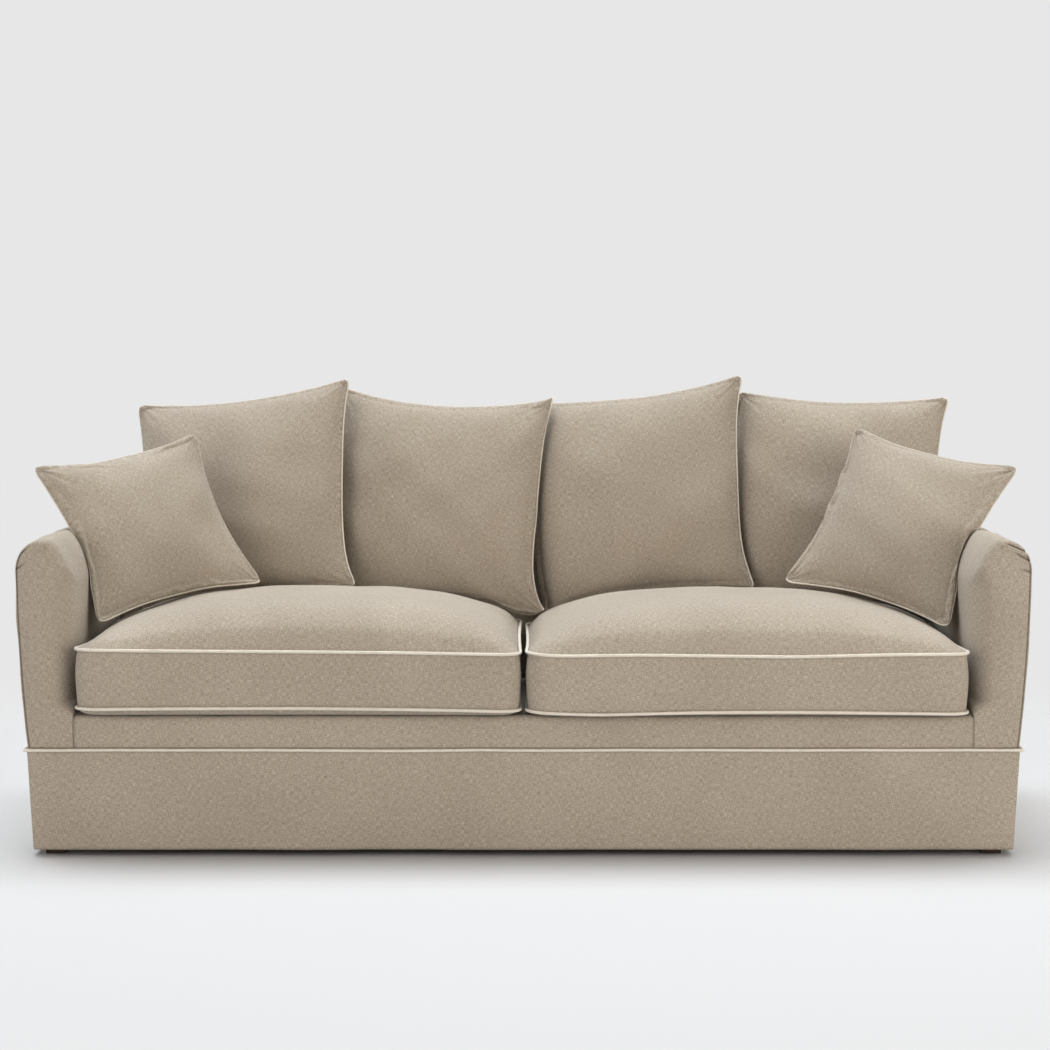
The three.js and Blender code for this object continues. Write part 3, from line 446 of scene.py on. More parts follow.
# Hidden pieces keep their solids and get the finish of their kind
for name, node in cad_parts.items():
    low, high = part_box(name)
    longest = max(range(3), key=lambda axis: high[axis] - low[axis])
    if "rail" in name or "post" in name or "stump" in name:
        finish = beech[longest]
    elif name.startswith("foot"):
        finish = stainedWood
    elif name.startswith("seat_spring"):
        finish = springSteel
    elif name.endswith("pad") or "pad_" in name:
        finish = foam
    elif name == "back_canvas":
        finish = canvasCloth
    elif name == "dust_cover":
        finish = dustCloth
    elif "piping" in name:
        finish = pipingMaterial
    else:
        finish = linenMaterial
    for materialSlot in node.material_slots:
        materialSlot.material = finish
print("finishes made")


# Arms: one panel flows from the seat over the roll and round the front, the outside panel is sewn to it

arm = {
    "crestOffset": 0.052,
    "flare": 0.0225,
    "widestDrop": 0.069,
    "rollDrop": 0.104,
    "innerRound": 0.048,     # soft front edge above the seat
    "apronRound": 0.0015,    # flush with the apron below it
    "crestRound": 0.020,
    "outerRound": 0.006,     # seam with the outside panel
    "deeper": 2.1,           # depth of the inner edge for its width
    "crestDeeper": 1.1,      # the same where it passes the top rail
    "softFrom": (0.302, 0.03),       # height where the apron's edge turns soft, and over what rise
    "crestFrom": (0.57, 0.06),
    "rearRound": 0.010,
    "facingCrown": 0.006,
    "pointsAlong": 301,
    "outerPoints": 170,      # of those, on the outer face
    "lengthRows": 60,
    "roundRows": 9,
    "rungs": 44,
    "unevenness": 0.0011,
    "facingUnevenness": 0.0008,
    "flankWave": 0.0016,
    "bound": 0.003,          # nothing stands further out than this
    "padding": 0.0129,
    "padPoints": 121,
    "outerFrom": 1.03,       # from the middle of the sofa to where the outer face starts
    "seamInset": 0.0045,     # of the outer front seam, from the outer face
    "seamDepth": 0.0013,
    "creaseWidth": 0.0026,
}


def armPath(count):  # inner foot, over the crest, outer foot, in x and z
    inner, base, top = sofa["innerHalf"], sofa["armBase"], sofa["armTop"]
    crest = (inner + arm["crestOffset"], top)
    widest = (base + arm["flare"], top - arm["widestDrop"])
    foot = top - arm["rollDrop"]
    flank = widest[1] - sofa["skirtSeam"]
    reach = widest[0] - crest[0]
    curves = [
        np.array([[inner, sofa["skirtSeam"] + sofa["gap"]], [inner, foot]]),
        bezier((inner, foot), (inner, foot + 0.38 * arm["rollDrop"]),
               (inner + 0.62 * arm["crestOffset"], top), crest, 40),
        bezier(crest, (crest[0] + 0.55 * reach, top), (widest[0], top - 0.38 * arm["widestDrop"]),
               widest, 40),
        bezier(widest, (widest[0], widest[1] - 0.23 * flank),
               (base + 0.57 * arm["flare"], sofa["skirtSeam"] + 0.26 * flank),
               (base, sofa["skirtSeam"] + sofa["gap"]), 60),
    ]
    path = np.concatenate([curves[0]] + [curve[1:] for curve in curves[1:]])
    return resampled(path, count)


# Shell over an open outline (a, b) carried along c. Its ends are rounded over, where the outline moves in
# by round (1 - sin) as c moves in by depth (1 - cos), and closed by rungs between its two legs.
def slabShell(path, outward, start, end, startRound, startDepth, endRound, crown, lengthRows, roundRows,
              rungs):
    along, half = lengthsAlong(path), len(path) // 2
    length = end - start - startDepth - endRound
    turn = np.linspace(0, math.pi / 2, roundRows + 1)
    rows, marks = [], []
    for angle in turn:
        rows.append((path - outward * (startRound * (1 - math.sin(angle)))[:, None],
                     start + startDepth * (1 - math.cos(angle))))
        marks.append((startRound + startDepth) / 2 * angle)
    for share in np.linspace(0, 1, lengthRows + 1)[1:-1]:
        rows.append((path, lerp(start + startDepth, end - endRound, share)))
        marks.append(marks[roundRows] + share * length)
    for angle in turn[::-1]:
        rows.append((path - outward * (endRound * (1 - math.sin(angle)))[:, None],
                     end - endRound * (1 - math.cos(angle))))
        marks.append(marks[roundRows] + end - start - startDepth - endRound * (1 + angle - math.pi / 2))
    grid = np.stack([np.column_stack([flat, depth]) for flat, depth in rows])
    surface = Surface()
    numbers = surface.addGrid(grid)
    surface.addPatch(numbers, stacked(np.array(marks), along[None, :]))
    even = np.linspace(0, 1, rungs + 1)
    shares = lerp(even, (1 - np.cos(np.linspace(0, math.pi, rungs + 1))) / 2, 0.6)
    swell = crown * 4 * shares * (1 - shares) * np.sin(np.linspace(0, math.pi, half))[:, None]
    rise = np.minimum(np.arange(half) / half * 3, 1)[:, None]  # no crown at the feet
    for row, outwardSign in ((0, -1), (-1, 1)):
        edge, edgeNumbers = grid[row], numbers[row]
        left, right = edge[:half], edge[:half:-1]
        ladder = left[:, None] + (right - left)[:, None] * shares[None, :, None]
        ladder[..., 2] += outwardSign * swell * rise
        inner = surface.addGrid(ladder[:, 1:-1])
        rungNumbers = np.concatenate([edgeNumbers[:half, None], inner, edgeNumbers[:half:-1, None]], 1)
        turned = slice(None, None, -outwardSign)  # the two ends face opposite ways
        surface.addPatch(rungNumbers[:, turned], ladder[:, turned, :2])
        surface.addFan(edgeNumbers[half], rungNumbers[-1, turned], edge[half, :2], ladder[-1, turned, :2])
    return surface


# The creases of the gathered corner, each from a point to a point in x and z on the front, with depth in mm
gathers = {
    -1: [((1.066, 0.640), (1.050, 0.656), 2.6), ((1.072, 0.612), (1.058, 0.622), 2.4)],
    1: [((1.064, 0.648), (1.022, 0.666), 3.0), ((1.072, 0.628), (1.042, 0.645), 3.4),
        ((1.073, 0.606), (1.054, 0.612), 2.6)],
}


def creaseField(x, z, creases, width):  # valley along each short line, with a low ridge beside it
    total = np.zeros_like(x)
    for (ax, az), (bx, bz), depth in creases:
        along = np.array([bx - ax, bz - az])
        length = np.linalg.norm(along)
        along /= length
        run = (x - ax) * along[0] + (z - az) * along[1]
        off = (z - az) * along[0] - (x - ax) * along[1]
        fade = rising(run, -0.006, 0.01) * falling(run, length + 0.012, 0.024)
        total += depth * 0.001 * fade * (0.8 * bump(off, width * 1.8, width) - bump(off, 0, width * 0.7))
    return total


def makeArm(side, word):
    path = armPath(arm["pointsAlong"])
    outward = leftOf(path)
    height, front = path[:, 1], sofa["front"]
    beyondCrest = rising(path[:, 0] - sofa["innerHalf"], 0.04, 0.05)
    onInner = np.arange(len(path)) < np.argmax(height)
    innerRound = lerp(arm["apronRound"], arm["innerRound"], rising(height, *arm["softFrom"]))
    innerRound = lerp(innerRound, arm["crestRound"], rising(height, *arm["crestFrom"]))
    frontRound = np.where(onInner, innerRound, lerp(arm["crestRound"], arm["outerRound"], beyondCrest))
    rearRound = np.full(len(path), arm["rearRound"])
    deeper = lerp(arm["deeper"], arm["crestDeeper"], rising(height, 0.57, 0.05))
    frontDepth = frontRound * lerp(deeper, 1, beyondCrest)
    outerEdge = path[::-1][:arm["outerPoints"]]

    def upright(surface):  # from the outline and the depth behind the front to x, y and z
        return surface.replace(lambda across, up, depth: (side * across, depth, up))

    def fromOuterFace(x, z):
        return np.interp(z, outerEdge[:, 1], outerEdge[:, 0]) - x

    def relief(points, normals):
        x, y, z = np.abs(points[:, 0]), points[:, 1], points[:, 2]
        high, onFront = rising(z, 0.25, 0.1), falling(y, front + 0.03, 0.02)
        free = high * falling(np.abs(y), 0.44, 0.1)
        lumps = arm["unevenness"] * softNoise(y + 3 * side, z + x, 0.19, 11 + side) * free
        facing = arm["facingUnevenness"] * softNoise(x, z, 0.11, 31 + side) * onFront * high
        gathered = creaseField(x, z, gathers[side], arm["creaseWidth"]) * onFront
        seam = arm["seamDepth"] * bump(fromOuterFace(x, z), arm["seamInset"], 0.0018) * onFront
        flank = (x > 1.04) * arm["flankWave"] * np.sin((z - 0.25) * 21 + y * 5) * free
        return np.minimum(lumps + facing + (gathered - seam * (x > arm["outerFrom"])) + flank, arm["bound"])

    # Painted shade: darkens the colour along the outer front seam and in the valleys of the gathered creases
    def paintedSeamShade(points):
        x, y, z = np.abs(points[:, 0]), points[:, 1], points[:, 2]
        seam = bump(fromOuterFace(x, z), arm["seamInset"], 0.0016) * (y < front + 0.012)
        creases = np.clip(-creaseField(x, z, gathers[side], 0.0022) / 0.0018, 0, 1)
        onFront = falling(y, front + 0.02, 0.012)
        return np.clip(0.85 * seam * (x > arm["outerFrom"]) + 0.8 * creases * onFront, 0, 1)

    surface = upright(slabShell(path, outward, front, sofa["rear"], frontRound, frontDepth, rearRound,
                                arm["facingCrown"], arm["lengthRows"], arm["roundRows"], arm["rungs"]))
    cover = makePiece("armCover" + word.title(), surface, linenMaterial,
                      inside=(side * 1.0, 0, 0.4), relief=relief, shade=paintedSeamShade, wall=sofa["cloth"])
    settlePiece(cover, "frame_and_cover", "linen", "cover_arm_" + word)
    inset, count = sofa["cloth"] + 2 * sofa["gap"] + 0.001, arm["padPoints"]
    padPath = resampled(path - outward * inset, count)
    padRound, padDepth = (np.maximum(np.interp(np.linspace(0, 1, count), np.linspace(0, 1, len(path)), values)
                                     - inset, 0.001) for values in (frontRound, frontDepth))
    padding = upright(slabShell(padPath, leftOf(padPath), front + inset, sofa["rear"] - inset,
                                padRound, padDepth, np.full(count, 0.006), 0.001, 20, 4, 12))
    pad = makePiece("armFoam" + word.title(), padding, foam, inside=(side * 1.0, 0, 0.4),
                    wall=arm["padding"] - 0.003)
    settlePiece(pad, "frame_and_cover", "foam", "arm_pad_" + word)


makeArm(-1, "left")
makeArm(1, "right")
print("arms made")


# Back: raked inside panel, rounded top, upright outside panel

back = {
    "frontRound": 0.042,
    "rearRound": 0.024,
    "endRound": 0.012,
    "pointsAlong": 181,
    "lengthRows": 120,
    "seams": 0.62,           # of the outside panel, from the middle
    "topSeam": 0.03,         # below the top
    "unevenness": 0.0012,
    "bounds": (-0.0021, 0.0006),     # the foam lies close behind
}


def backPath(count):  # foot of the inside, over the top, foot of the outside, in y and z
    top, rear, rake = sofa["backTop"], sofa["rear"], sofa["backRake"]
    foot = sofa["deck"] + sofa["gap"]
    reach = back["frontRound"] * math.tan((math.pi / 2 - rake) / 2)
    corner = np.array([insideBackAt(top), top])
    before = corner - reach * np.array([math.sin(rake), math.cos(rake)])
    after = corner + np.array([reach, 0])
    edge = np.array([rear, top])
    path = np.concatenate([
        [[insideBackAt(foot), foot]],
        bezier(before, lerp(before, corner, 2 / 3), lerp(after, corner, 2 / 3), after, 16),
        bezier((rear - back["rearRound"], top), lerp(edge - (back["rearRound"], 0), edge, 2 / 3),
               lerp(edge - (0, back["rearRound"]), edge, 2 / 3), (rear, top - back["rearRound"]), 12),
        [[rear, sofa["skirtSeam"] + sofa["gap"]]],
    ])
    return resampled(path, count)


def makeBack():
    path = backPath(back["pointsAlong"])
    half = sofa["innerHalf"] - sofa["gap"]
    seamHeight = sofa["backTop"] - back["topSeam"]
    ends = np.full(len(path), back["endRound"])
    surface = slabShell(path, leftOf(path), -half, half, ends, ends, ends, 0.001, back["lengthRows"], 6, 24)
    surface.replace(lambda depth, up, across: (across, depth, up))

    def relief(points, normals):
        x, y, z = points.T
        free = falling(np.abs(x), half, 0.08) * rising(z, 0.27, 0.1)
        lumps = back["unevenness"] * softNoise(x, z + y, 0.26, 5) * free
        onRear = y > sofa["rear"] - 0.012
        seam = -0.0016 * bump(np.abs(x), back["seams"], 0.0016) * onRear
        topSeam = -0.0014 * bump(z, seamHeight, 0.0016) * onRear
        return np.clip(lumps + seam + topSeam, *back["bounds"])

    # Painted shade: darkens the colour along the seams of the outside panel
    def paintedSeamShade(points):
        x, y, z = points.T
        onRear = y > sofa["rear"] - 0.014
        lines = bump(np.abs(x), back["seams"], 0.0022) + bump(z, seamHeight, 0.0022)
        return onRear * np.clip(lines, 0, 1) * 0.7

    cover = makePiece("backCover", surface, linenMaterial, inside=(0, 0.35, 0.5), relief=relief,
                      shade=paintedSeamShade, wall=sofa["cloth"])
    settlePiece(cover, "frame_and_cover", "linen", "cover_back")


makeBack()
print("back made")


# Deck and apron: one panel from the back over the front rail

deck = {
    "round": 0.014,
    "rear": 0.2169,          # runs in under the back
    "columns": 260,
    "unevenness": 0.0008,
}


def makeDeck():
    top, front, turn = sofa["deck"], sofa["front"], deck["round"]
    corner = np.array([front, top])
    path = np.concatenate([
        np.column_stack([np.linspace(deck["rear"], front + turn, 40), np.full(40, top)]),
        bezier(corner + (turn, 0), corner + (turn / 3, 0), corner - (0, turn / 3), corner - (0, turn), 10)[1:],
        np.column_stack([np.full(16, front),
                         np.linspace(top - turn, sofa["skirtSeam"] + sofa["gap"], 16)])[1:],
    ])
    half = sofa["innerHalf"] - sofa["gap"]
    across = np.linspace(-half, half, deck["columns"])
    surface = Surface()
    numbers = surface.addGrid(stacked(across[None, :], path[:, 0][:, None], path[:, 1][:, None]))
    surface.addPatch(numbers, stacked(across[None, :], lengthsAlong(path)[:, None]))

    def relief(points, normals):
        x, y, z = points.T
        free = falling(np.abs(x), half, 0.03) * rising(z, 0.236, 0.02)
        return np.minimum(deck["unevenness"] * softNoise(x, z * 2 + y, 0.12, 8) * free, 0.0002)

    # Painted shade: darkens the colour at the deck's ends, where they meet the arm covers
    def paintedSeamShade(points):
        return 0.35 * bump(half - np.abs(points[:, 0]), 0, 0.0014)

    cover = makePiece("deckCover", surface, linenMaterial, inside=(0, 0, 0.2), relief=relief,
                      shade=paintedSeamShade, wall=sofa["cloth"])
    settlePiece(cover, "frame_and_cover", "linen", "cover_deck")


makeDeck()
print("deck made")


# Skirt: four panels whose ends are turned under, split at the corners

skirt = {
    "thickness": 0.0025,
    "foldGap": 0.002,
    "turnUnder": 0.055,
    "proud": 0.0005,
    "sideProud": 0.004,
    "flare": 0.007,
    "hemDraw": 0.0115,
    "split": 0.003,
    "endTrim": 0.004,        # the front panel stops short, so the side panel's edge shows beside it
    "rows": 30,
    "spacing": 0.006,
    "wave": 0.0022,
    "ripple": 0.0006,
    "bound": 0.004,
    "pipingRise": 0.0011,
    "pipingRadius": 0.0032,
}


# Closed sheet along a plan path (across, behind): middle + and - half its thickness, joined all round.
# hang(across, behind, down) moves the middle surface as it goes down from seam to hem.
def skirtPanel(half, hang):
    one, gap = skirt["thickness"], skirt["foldGap"]
    near, far, bend = one / 2, 1.5 * one + gap, (one + gap) / 2
    arc = np.linspace(-math.pi / 2, math.pi / 2, 7)
    corner = np.column_stack([half - one / 2 - bend + bend * np.cos(arc), near + bend + bend * np.sin(arc)])
    straight = np.arange(0, half - one / 2 - bend, skirt["spacing"])
    flat = np.column_stack([straight, np.full(len(straight), near)])
    under = np.linspace(half - one / 2 - bend, half - skirt["turnUnder"], 8)[1:]
    tail = np.column_stack([under, np.full(len(under), far)])
    right = np.concatenate([flat, corner, tail])
    path = np.concatenate([right[:0:-1] * (-1, 1), right])
    side = leftOf(path)
    down = np.linspace(0, 1, skirt["rows"])[:, None]
    top, hem = sofa["skirtSeam"] - sofa["gap"], sofa["hem"]
    surface, sheets = Surface(), []
    for sign in (-1, 1):
        across, behind = hang(*(path + side * sign * one / 2).T, down)
        sheets.append(surface.addGrid(stacked(across, behind, lerp(top, hem, down))))
    front, rear = sheets
    cloth = stacked(lengthsAlong(path)[None, :], down * (top - hem))
    surface.addPatch(front, cloth)
    surface.addPatch(rear[:, ::-1], cloth[:, ::-1])
    for a, b in ((front[0], rear[0]), (rear[-1], front[-1]), (rear[:, 0], front[:, 0]),
                 (front[:, -1], rear[:, -1])):
        edge = np.linspace(0, 1, len(a))
        surface.addPatch(np.stack([b, a]), stacked(edge[None, :], np.array([[0], [one]])))
    return surface


def makeSkirtPanel(name, node, half, hemOut, hemDraw, turned, place, seed):
    bow = 0.4 if hemOut <= 0 else 1

    def hang(across, behind, down):
        ease = 1 - 0.5 * rising(np.abs(across) / half, 0.9, 0.1)
        wave = skirt["wave"] * softNoise(across, across * 0, 0.34, seed) * down ** 1.5
        ripple = skirt["ripple"] * softNoise(across, down * 0.2, 0.09, seed + 1) * down
        return (across * (1 - hemDraw * down / half),
                behind - hemOut * down - np.minimum((wave + ripple) * ease, skirt["bound"]) * bow)

    cos, sin = math.cos(turned), math.sin(turned)
    surface = skirtPanel(half, hang).replace(
        lambda x, y, z: (x * cos - y * sin + place[0], x * sin + y * cos + place[1], z))
    panel = makePiece(name, surface, linenMaterial)
    settlePiece(panel, "frame_and_cover", "linen", node)


skirtReach = sofa["armBase"] + skirt["sideProud"]
skirtFront, skirtRear = sofa["front"] - skirt["proud"], sofa["rear"] + skirt["proud"]
skirtMiddle = (skirtFront + skirtRear) / 2
sideHalf = (skirtRear - skirtFront) / 2 - 2 * skirt["thickness"] - skirt["foldGap"] - skirt["split"]


# Rectangle with round corners, counterclockwise, evenly spaced, with its outward directions
def roundedPlan(half, deepHalf, radius, count):
    pieces, normals = [], []
    for k, (sx, sy) in enumerate(((1, -1), (1, 1), (-1, 1), (-1, -1))):
        angle = np.linspace((k - 1) * math.pi / 2, k * math.pi / 2, 25)
        heading = np.column_stack([np.cos(angle), np.sin(angle)])
        pieces.append(np.array([sx * (half - radius), sy * (deepHalf - radius)]) + radius * heading)
        normals.append(heading)
    path, normal = (np.concatenate([*parts, parts[0][:1]]) for parts in (pieces, normals))
    along = lengthsAlong(path)
    wanted = np.linspace(0, along[-1], count, endpoint=False)
    places, outward = (np.column_stack([np.interp(wanted, along, axis) for axis in values.T])
                       for values in (path, normal))
    return places, unit(outward)


# Tube along a level plan, at the given heights, whose sides face outwards and up
def levelTube(plan, outward, heights, radius):
    up = np.broadcast_to([0.0, 0.0, 1.0], (len(plan), 3))
    out = np.column_stack([outward, np.zeros(len(plan))])
    return tubeLoop(np.column_stack([plan, heights]), out, up, radius, 12)


def makeSkirtPiping():
    radius = skirt["pipingRadius"]
    off = sofa["gap"] + radius
    plan, outward = roundedPlan(skirtReach + off, (skirtRear - skirtFront) / 2 + off, off, 900)
    plan = plan + (0, skirtMiddle)
    rise = skirt["pipingRise"] * softNoise(*plan.T, 0.5, 21)
    surface = levelTube(plan, outward, sofa["skirtSeam"] - radius - np.abs(rise), radius)
    piece = makePiece("skirtPiping", surface, pipingMaterial)
    settlePiece(piece, "frame_and_cover", "piping", "skirt_piping")


makeSkirtPiping()
for word, half, hemOut, hemDraw, turned, place, seed in (
        ("front", skirtReach - skirt["endTrim"], skirt["flare"], skirt["hemDraw"], 0, (0, skirtFront), 41),
        ("back", skirtReach, 0, skirt["hemDraw"], math.pi, (0, skirtRear), 43),
        ("right", sideHalf, -skirt["hemDraw"], 0, math.pi / 2, (skirtReach, skirtMiddle), 45),
        ("left", sideHalf, -skirt["hemDraw"], 0, -math.pi / 2, (-skirtReach, skirtMiddle), 47)):
    makeSkirtPanel("skirt" + word.title(), "skirt_" + word, half, hemOut, hemDraw, turned, place, seed)
print("skirt made")


# Seat cushions: boxed and piped, with a high crown

seat = {
    "half": 0.4652,
    "centreX": 0.4745,
    "deepHalf": 0.31415,
    "centreY": -0.15255,
    "corner": 0.042,
    "sideDraw": 0.004,
    "bulge": 0.005,
    "bottomInset": 0.046,
    "crown": 0.104,
    "peakShare": 0.35,       # of the depth, from the front
    "armPower": (2.5, 0.75),         # how the crown falls towards the arm, and towards the middle
    "middlePower": (3.0, 0.6),
    "settleFrom": (-0.30, 0.12),     # depth where the seams lie level, and over what length before it
    "pipingRadius": 0.0035,
    "pipingSpace": 0.0083,   # kept above the upper seam
    "stations": 480,
    "undersideRows": 14,
    "roundRows": 7,
    "crownRows": 56,
    "boxRows": 14,
    "edgeShare": 0.93,       # of the way out, where the crown rounds down to the seam
    "puckers": 0.0011,
    "puckerReach": 0.03,
    "unevenness": 0.0016,
    "bound": 0.001,
}
seatCushions = {
    "left": {"side": -1, "lower": 0.318, "upper": 0.440, "crownShare": 1.0, "seed": 51,
             "armSwell": 0.008,
             "topSeam": ([-0.94, -0.78, -0.47, -0.26, -0.01], [0.004, 0.002, 0.000, -0.002, -0.0062]),
             "bottomSeam": ([-0.94, -0.70, -0.47, -0.20, -0.01], [0.000, 0.0015, 0.002, -0.001, -0.005])},
    "right": {"side": 1, "lower": 0.310, "upper": 0.432, "crownShare": 1.05, "seed": 61,
              "armSwell": 0.001,
              "topSeam": ([0.01, 0.05, 0.26, 0.57, 0.78, 0.94],
                          [0.006, -0.001, 0.001, -0.003, 0.002, 0.003]),
              "bottomSeam": ([0.01, 0.06, 0.16, 0.37, 0.57, 0.94],
                             [0.003, -0.001, -0.004, 0.001, 0.002, -0.002])},
}


# Share of the crown at a place from -1 to 1: (1 - |across| ^ p) ^ e times (1 - from the peak ^ q) ^ e
def crownProfile(side, across, deep, travelling):
    power, ease = (np.where(across * side > 0, *pair) for pair in zip(seat["armPower"], seat["middlePower"]))
    acrossPart = np.maximum(1 - np.abs(across) ** power, 0) ** ease
    peak = 2 * seat["peakShare"] - 1
    ahead = deep < peak
    fromPeak = np.where(ahead, (peak - deep) / (1 + peak), (deep - peak) / (1 - peak))
    deepPart = np.maximum(1 - fromPeak ** np.where(ahead, 3, 4), 0) ** 0.6
    return acrossPart * (np.where(ahead, 1, deepPart) if travelling else deepPart)


def seatTopAt(x, y):  # highest point that the seats reach over a place, also while drawn forwards
    tops = []
    for cushion in seatCushions.values():
        across = (x - cushion["side"] * seat["centreX"]) / seat["half"]
        deep = (y - seat["centreY"]) / seat["deepHalf"]
        within = (np.abs(across) < 1) & (deep < 1)
        shape = crownProfile(cushion["side"], np.clip(across, -1, 1), np.clip(deep, -1, 1), True)
        crown = np.where(within, cushion["crownShare"] * seat["crown"] * shape, 0)
        tops.append(np.maximum(cushion["upper"] + crown, cushion["upper"] + seat["pipingSpace"]))
    return np.maximum(*tops)


def seamHeight(cushion, level, which, x, y):  # wanders up and down along the front, and lies level behind
    places, rises = cushion[which]
    fine = np.linspace(places[0], places[-1], 200)
    kernel = np.hanning(31)
    padded = np.pad(np.interp(fine, places, rises), 15, mode="edge")
    line = np.convolve(padded, kernel / kernel.sum(), mode="valid")
    return cushion[level] + np.interp(x, fine, line) * falling(y, *seat["settleFrom"])


def seatPlan(cushion):  # outline of a seat about its middle, drawn in at the sides, swelling by the arm
    side = cushion["side"]
    plan, outward = roundedPlan(seat["half"], seat["deepHalf"], seat["corner"], seat["stations"])
    draw = seat["sideDraw"] * (1 - (plan[:, ::-1] / (seat["deepHalf"], seat["half"])) ** 2)
    plan = plan - draw * outward
    swell = rising(plan[:, 0] * side / seat["half"], 0.93, 0.06) * falling(plan[:, 1], -0.24, 0.05)
    return plan + np.column_stack([side * cushion["armSwell"] * swell, swell * 0]), outward


# Rows of a seat from the middle of its underside to the middle of its crown, with the rows of both seams
def seatRings(cushion, plan, outward, origin, low, high):
    world, bottom, upper = plan + origin, sofa["deck"] + sofa["gap"], cushion["upper"]
    rings = []
    for share in np.linspace(0.06, 1, seat["undersideRows"]):
        rings.append(np.column_stack([(plan - outward * seat["bottomInset"]) * share + origin,
                                      np.full(len(plan), bottom)]))
    for angle in np.linspace(0, math.pi / 2, seat["roundRows"] + 1)[1:]:
        inset = seat["bottomInset"] * (1 - math.sin(angle))
        rings.append(np.column_stack([world - outward * inset, lerp(bottom, low, 1 - math.cos(angle))]))
    boxFirst = len(rings) - 1
    for share in np.linspace(0, 1, seat["boxRows"] + 1)[1:]:  # boxing swells between the seams
        out = seat["bulge"] * (1 - (2 * share - 1) ** 2)
        rings.append(np.column_stack([world + outward * out, lerp(low, high, share)]))
    boxLast = len(rings) - 1
    inward = np.linspace(0, 1, seat["crownRows"] + 1)[1:]
    for share in 1 - (0.35 * inward + 0.65 * inward ** 2.2) * 0.985:  # closer together near the seam
        place = plan * share
        shape = crownProfile(cushion["side"], place[:, 0] / seat["half"], place[:, 1] / seat["deepHalf"], False)
        blend = math.sqrt(1 - max(0.0, (share - seat["edgeShare"]) / 0.07) ** 2)
        rise = cushion["crownShare"] * seat["crown"] * shape * blend
        rings.append(np.column_stack([place + origin, upper + (high - upper) * share ** 6 + rise]))
    return np.stack(rings), boxFirst, boxLast


def makeSeat(word, cushion):
    origin = np.array([cushion["side"] * seat["centreX"], seat["centreY"]])
    plan, outward = seatPlan(cushion)
    around = lengthsAlong(np.concatenate([plan, plan[:1]]))
    world = plan + origin
    low = seamHeight(cushion, "lower", "bottomSeam", *world.T)
    high = seamHeight(cushion, "upper", "topSeam", *world.T)
    grid, boxFirst, boxLast = seatRings(cushion, plan, outward, origin, low, high)
    surface = Surface()
    numbers = surface.addGrid(grid)
    numbers, wrapped = (np.concatenate([rows, rows[:, :1]], 1) for rows in (numbers, grid))
    surface.addPatch(numbers[:boxFirst + 1], wrapped[:boxFirst + 1, :, :2])
    box = slice(boxFirst, boxLast + 1)
    surface.addPatch(numbers[box], stacked(around, wrapped[box, :, 2]))
    meridian = np.linalg.norm(np.diff(wrapped[boxLast:], axis=0), axis=-1)[::-1]
    reach = np.concatenate([np.cumsum(meridian, 0)[::-1], np.zeros((1, meridian.shape[1]))])
    heading = unit(wrapped[boxLast, :, :2] - origin)
    top = origin + heading * (reach + np.linalg.norm(wrapped[-1, :, :2] - origin, axis=1))[..., None]
    surface.addPatch(numbers[boxLast:], top)
    for height, ring, ringCloth in ((sofa["deck"] + sofa["gap"], numbers[0][::-1], wrapped[0, ::-1, :2]),
                                    (grid[-1, :, 2].mean(), numbers[-1], top[-1])):
        pole = surface.addGrid(np.array([[*origin, height]]))[0]
        surface.addFan(pole, ring, origin, ringCloth)

    def relief(points, normals):
        x, y, z = points[:, 0] - origin[0], points[:, 1] - origin[1], points[:, 2]
        seed = cushion["seed"]
        fromSide, fromEnd = seat["half"] - np.abs(x), seat["deepHalf"] - np.abs(y)
        fromEdge = np.minimum(fromSide, fromEnd)
        alongSeam = np.where(fromSide < fromEnd, y + 3, x)
        onTop = smooth((z - high.min() - 0.006) / 0.01)
        pucker = seat["puckers"] * softNoise(alongSeam, alongSeam * 0, 0.034, seed)
        pucker = pucker * np.exp(-np.maximum(fromEdge, 0) / seat["puckerReach"]) * onTop
        lumps = seat["unevenness"] * softNoise(x, y, 0.17, seed + 1) * onTop * smooth(fromEdge / 0.06)
        onBox = smooth((z - cushion["lower"] - 0.01) / 0.02) * falling(z, cushion["upper"] - 0.01, 0.02)
        box = (0.0009 * softNoise(alongSeam, z, 0.09, seed + 2)
               + 0.0004 * softNoise(alongSeam, z * 0.4, 0.03, seed + 3)) * onBox
        return np.minimum(pucker + lumps, seat["bound"]) + np.minimum(box, seat["bound"])

    piece = makePiece("seatCushion" + word.title(), surface, linenMaterial, relief=relief)
    settlePiece(piece, word + "_seat_cushion", "linen", "seat_cushion_" + word)
    for which, heights in (("top", high), ("bottom", low)):
        tube = levelTube(world + outward * (sofa["gap"] + seat["pipingRadius"]), outward, heights,
                         seat["pipingRadius"])
        piping = makePiece("seatPiping" + which.title() + word.title(), tube, pipingMaterial)
        settlePiece(piping, word + "_seat_cushion", "piping", "seat_piping_" + which + "_" + word)


for word, cushion in seatCushions.items():
    makeSeat(word, cushion)
print("seat cushions made")


# Loose cushions: knife edged, pressed clear of the seats, the back, the arms and their neighbours

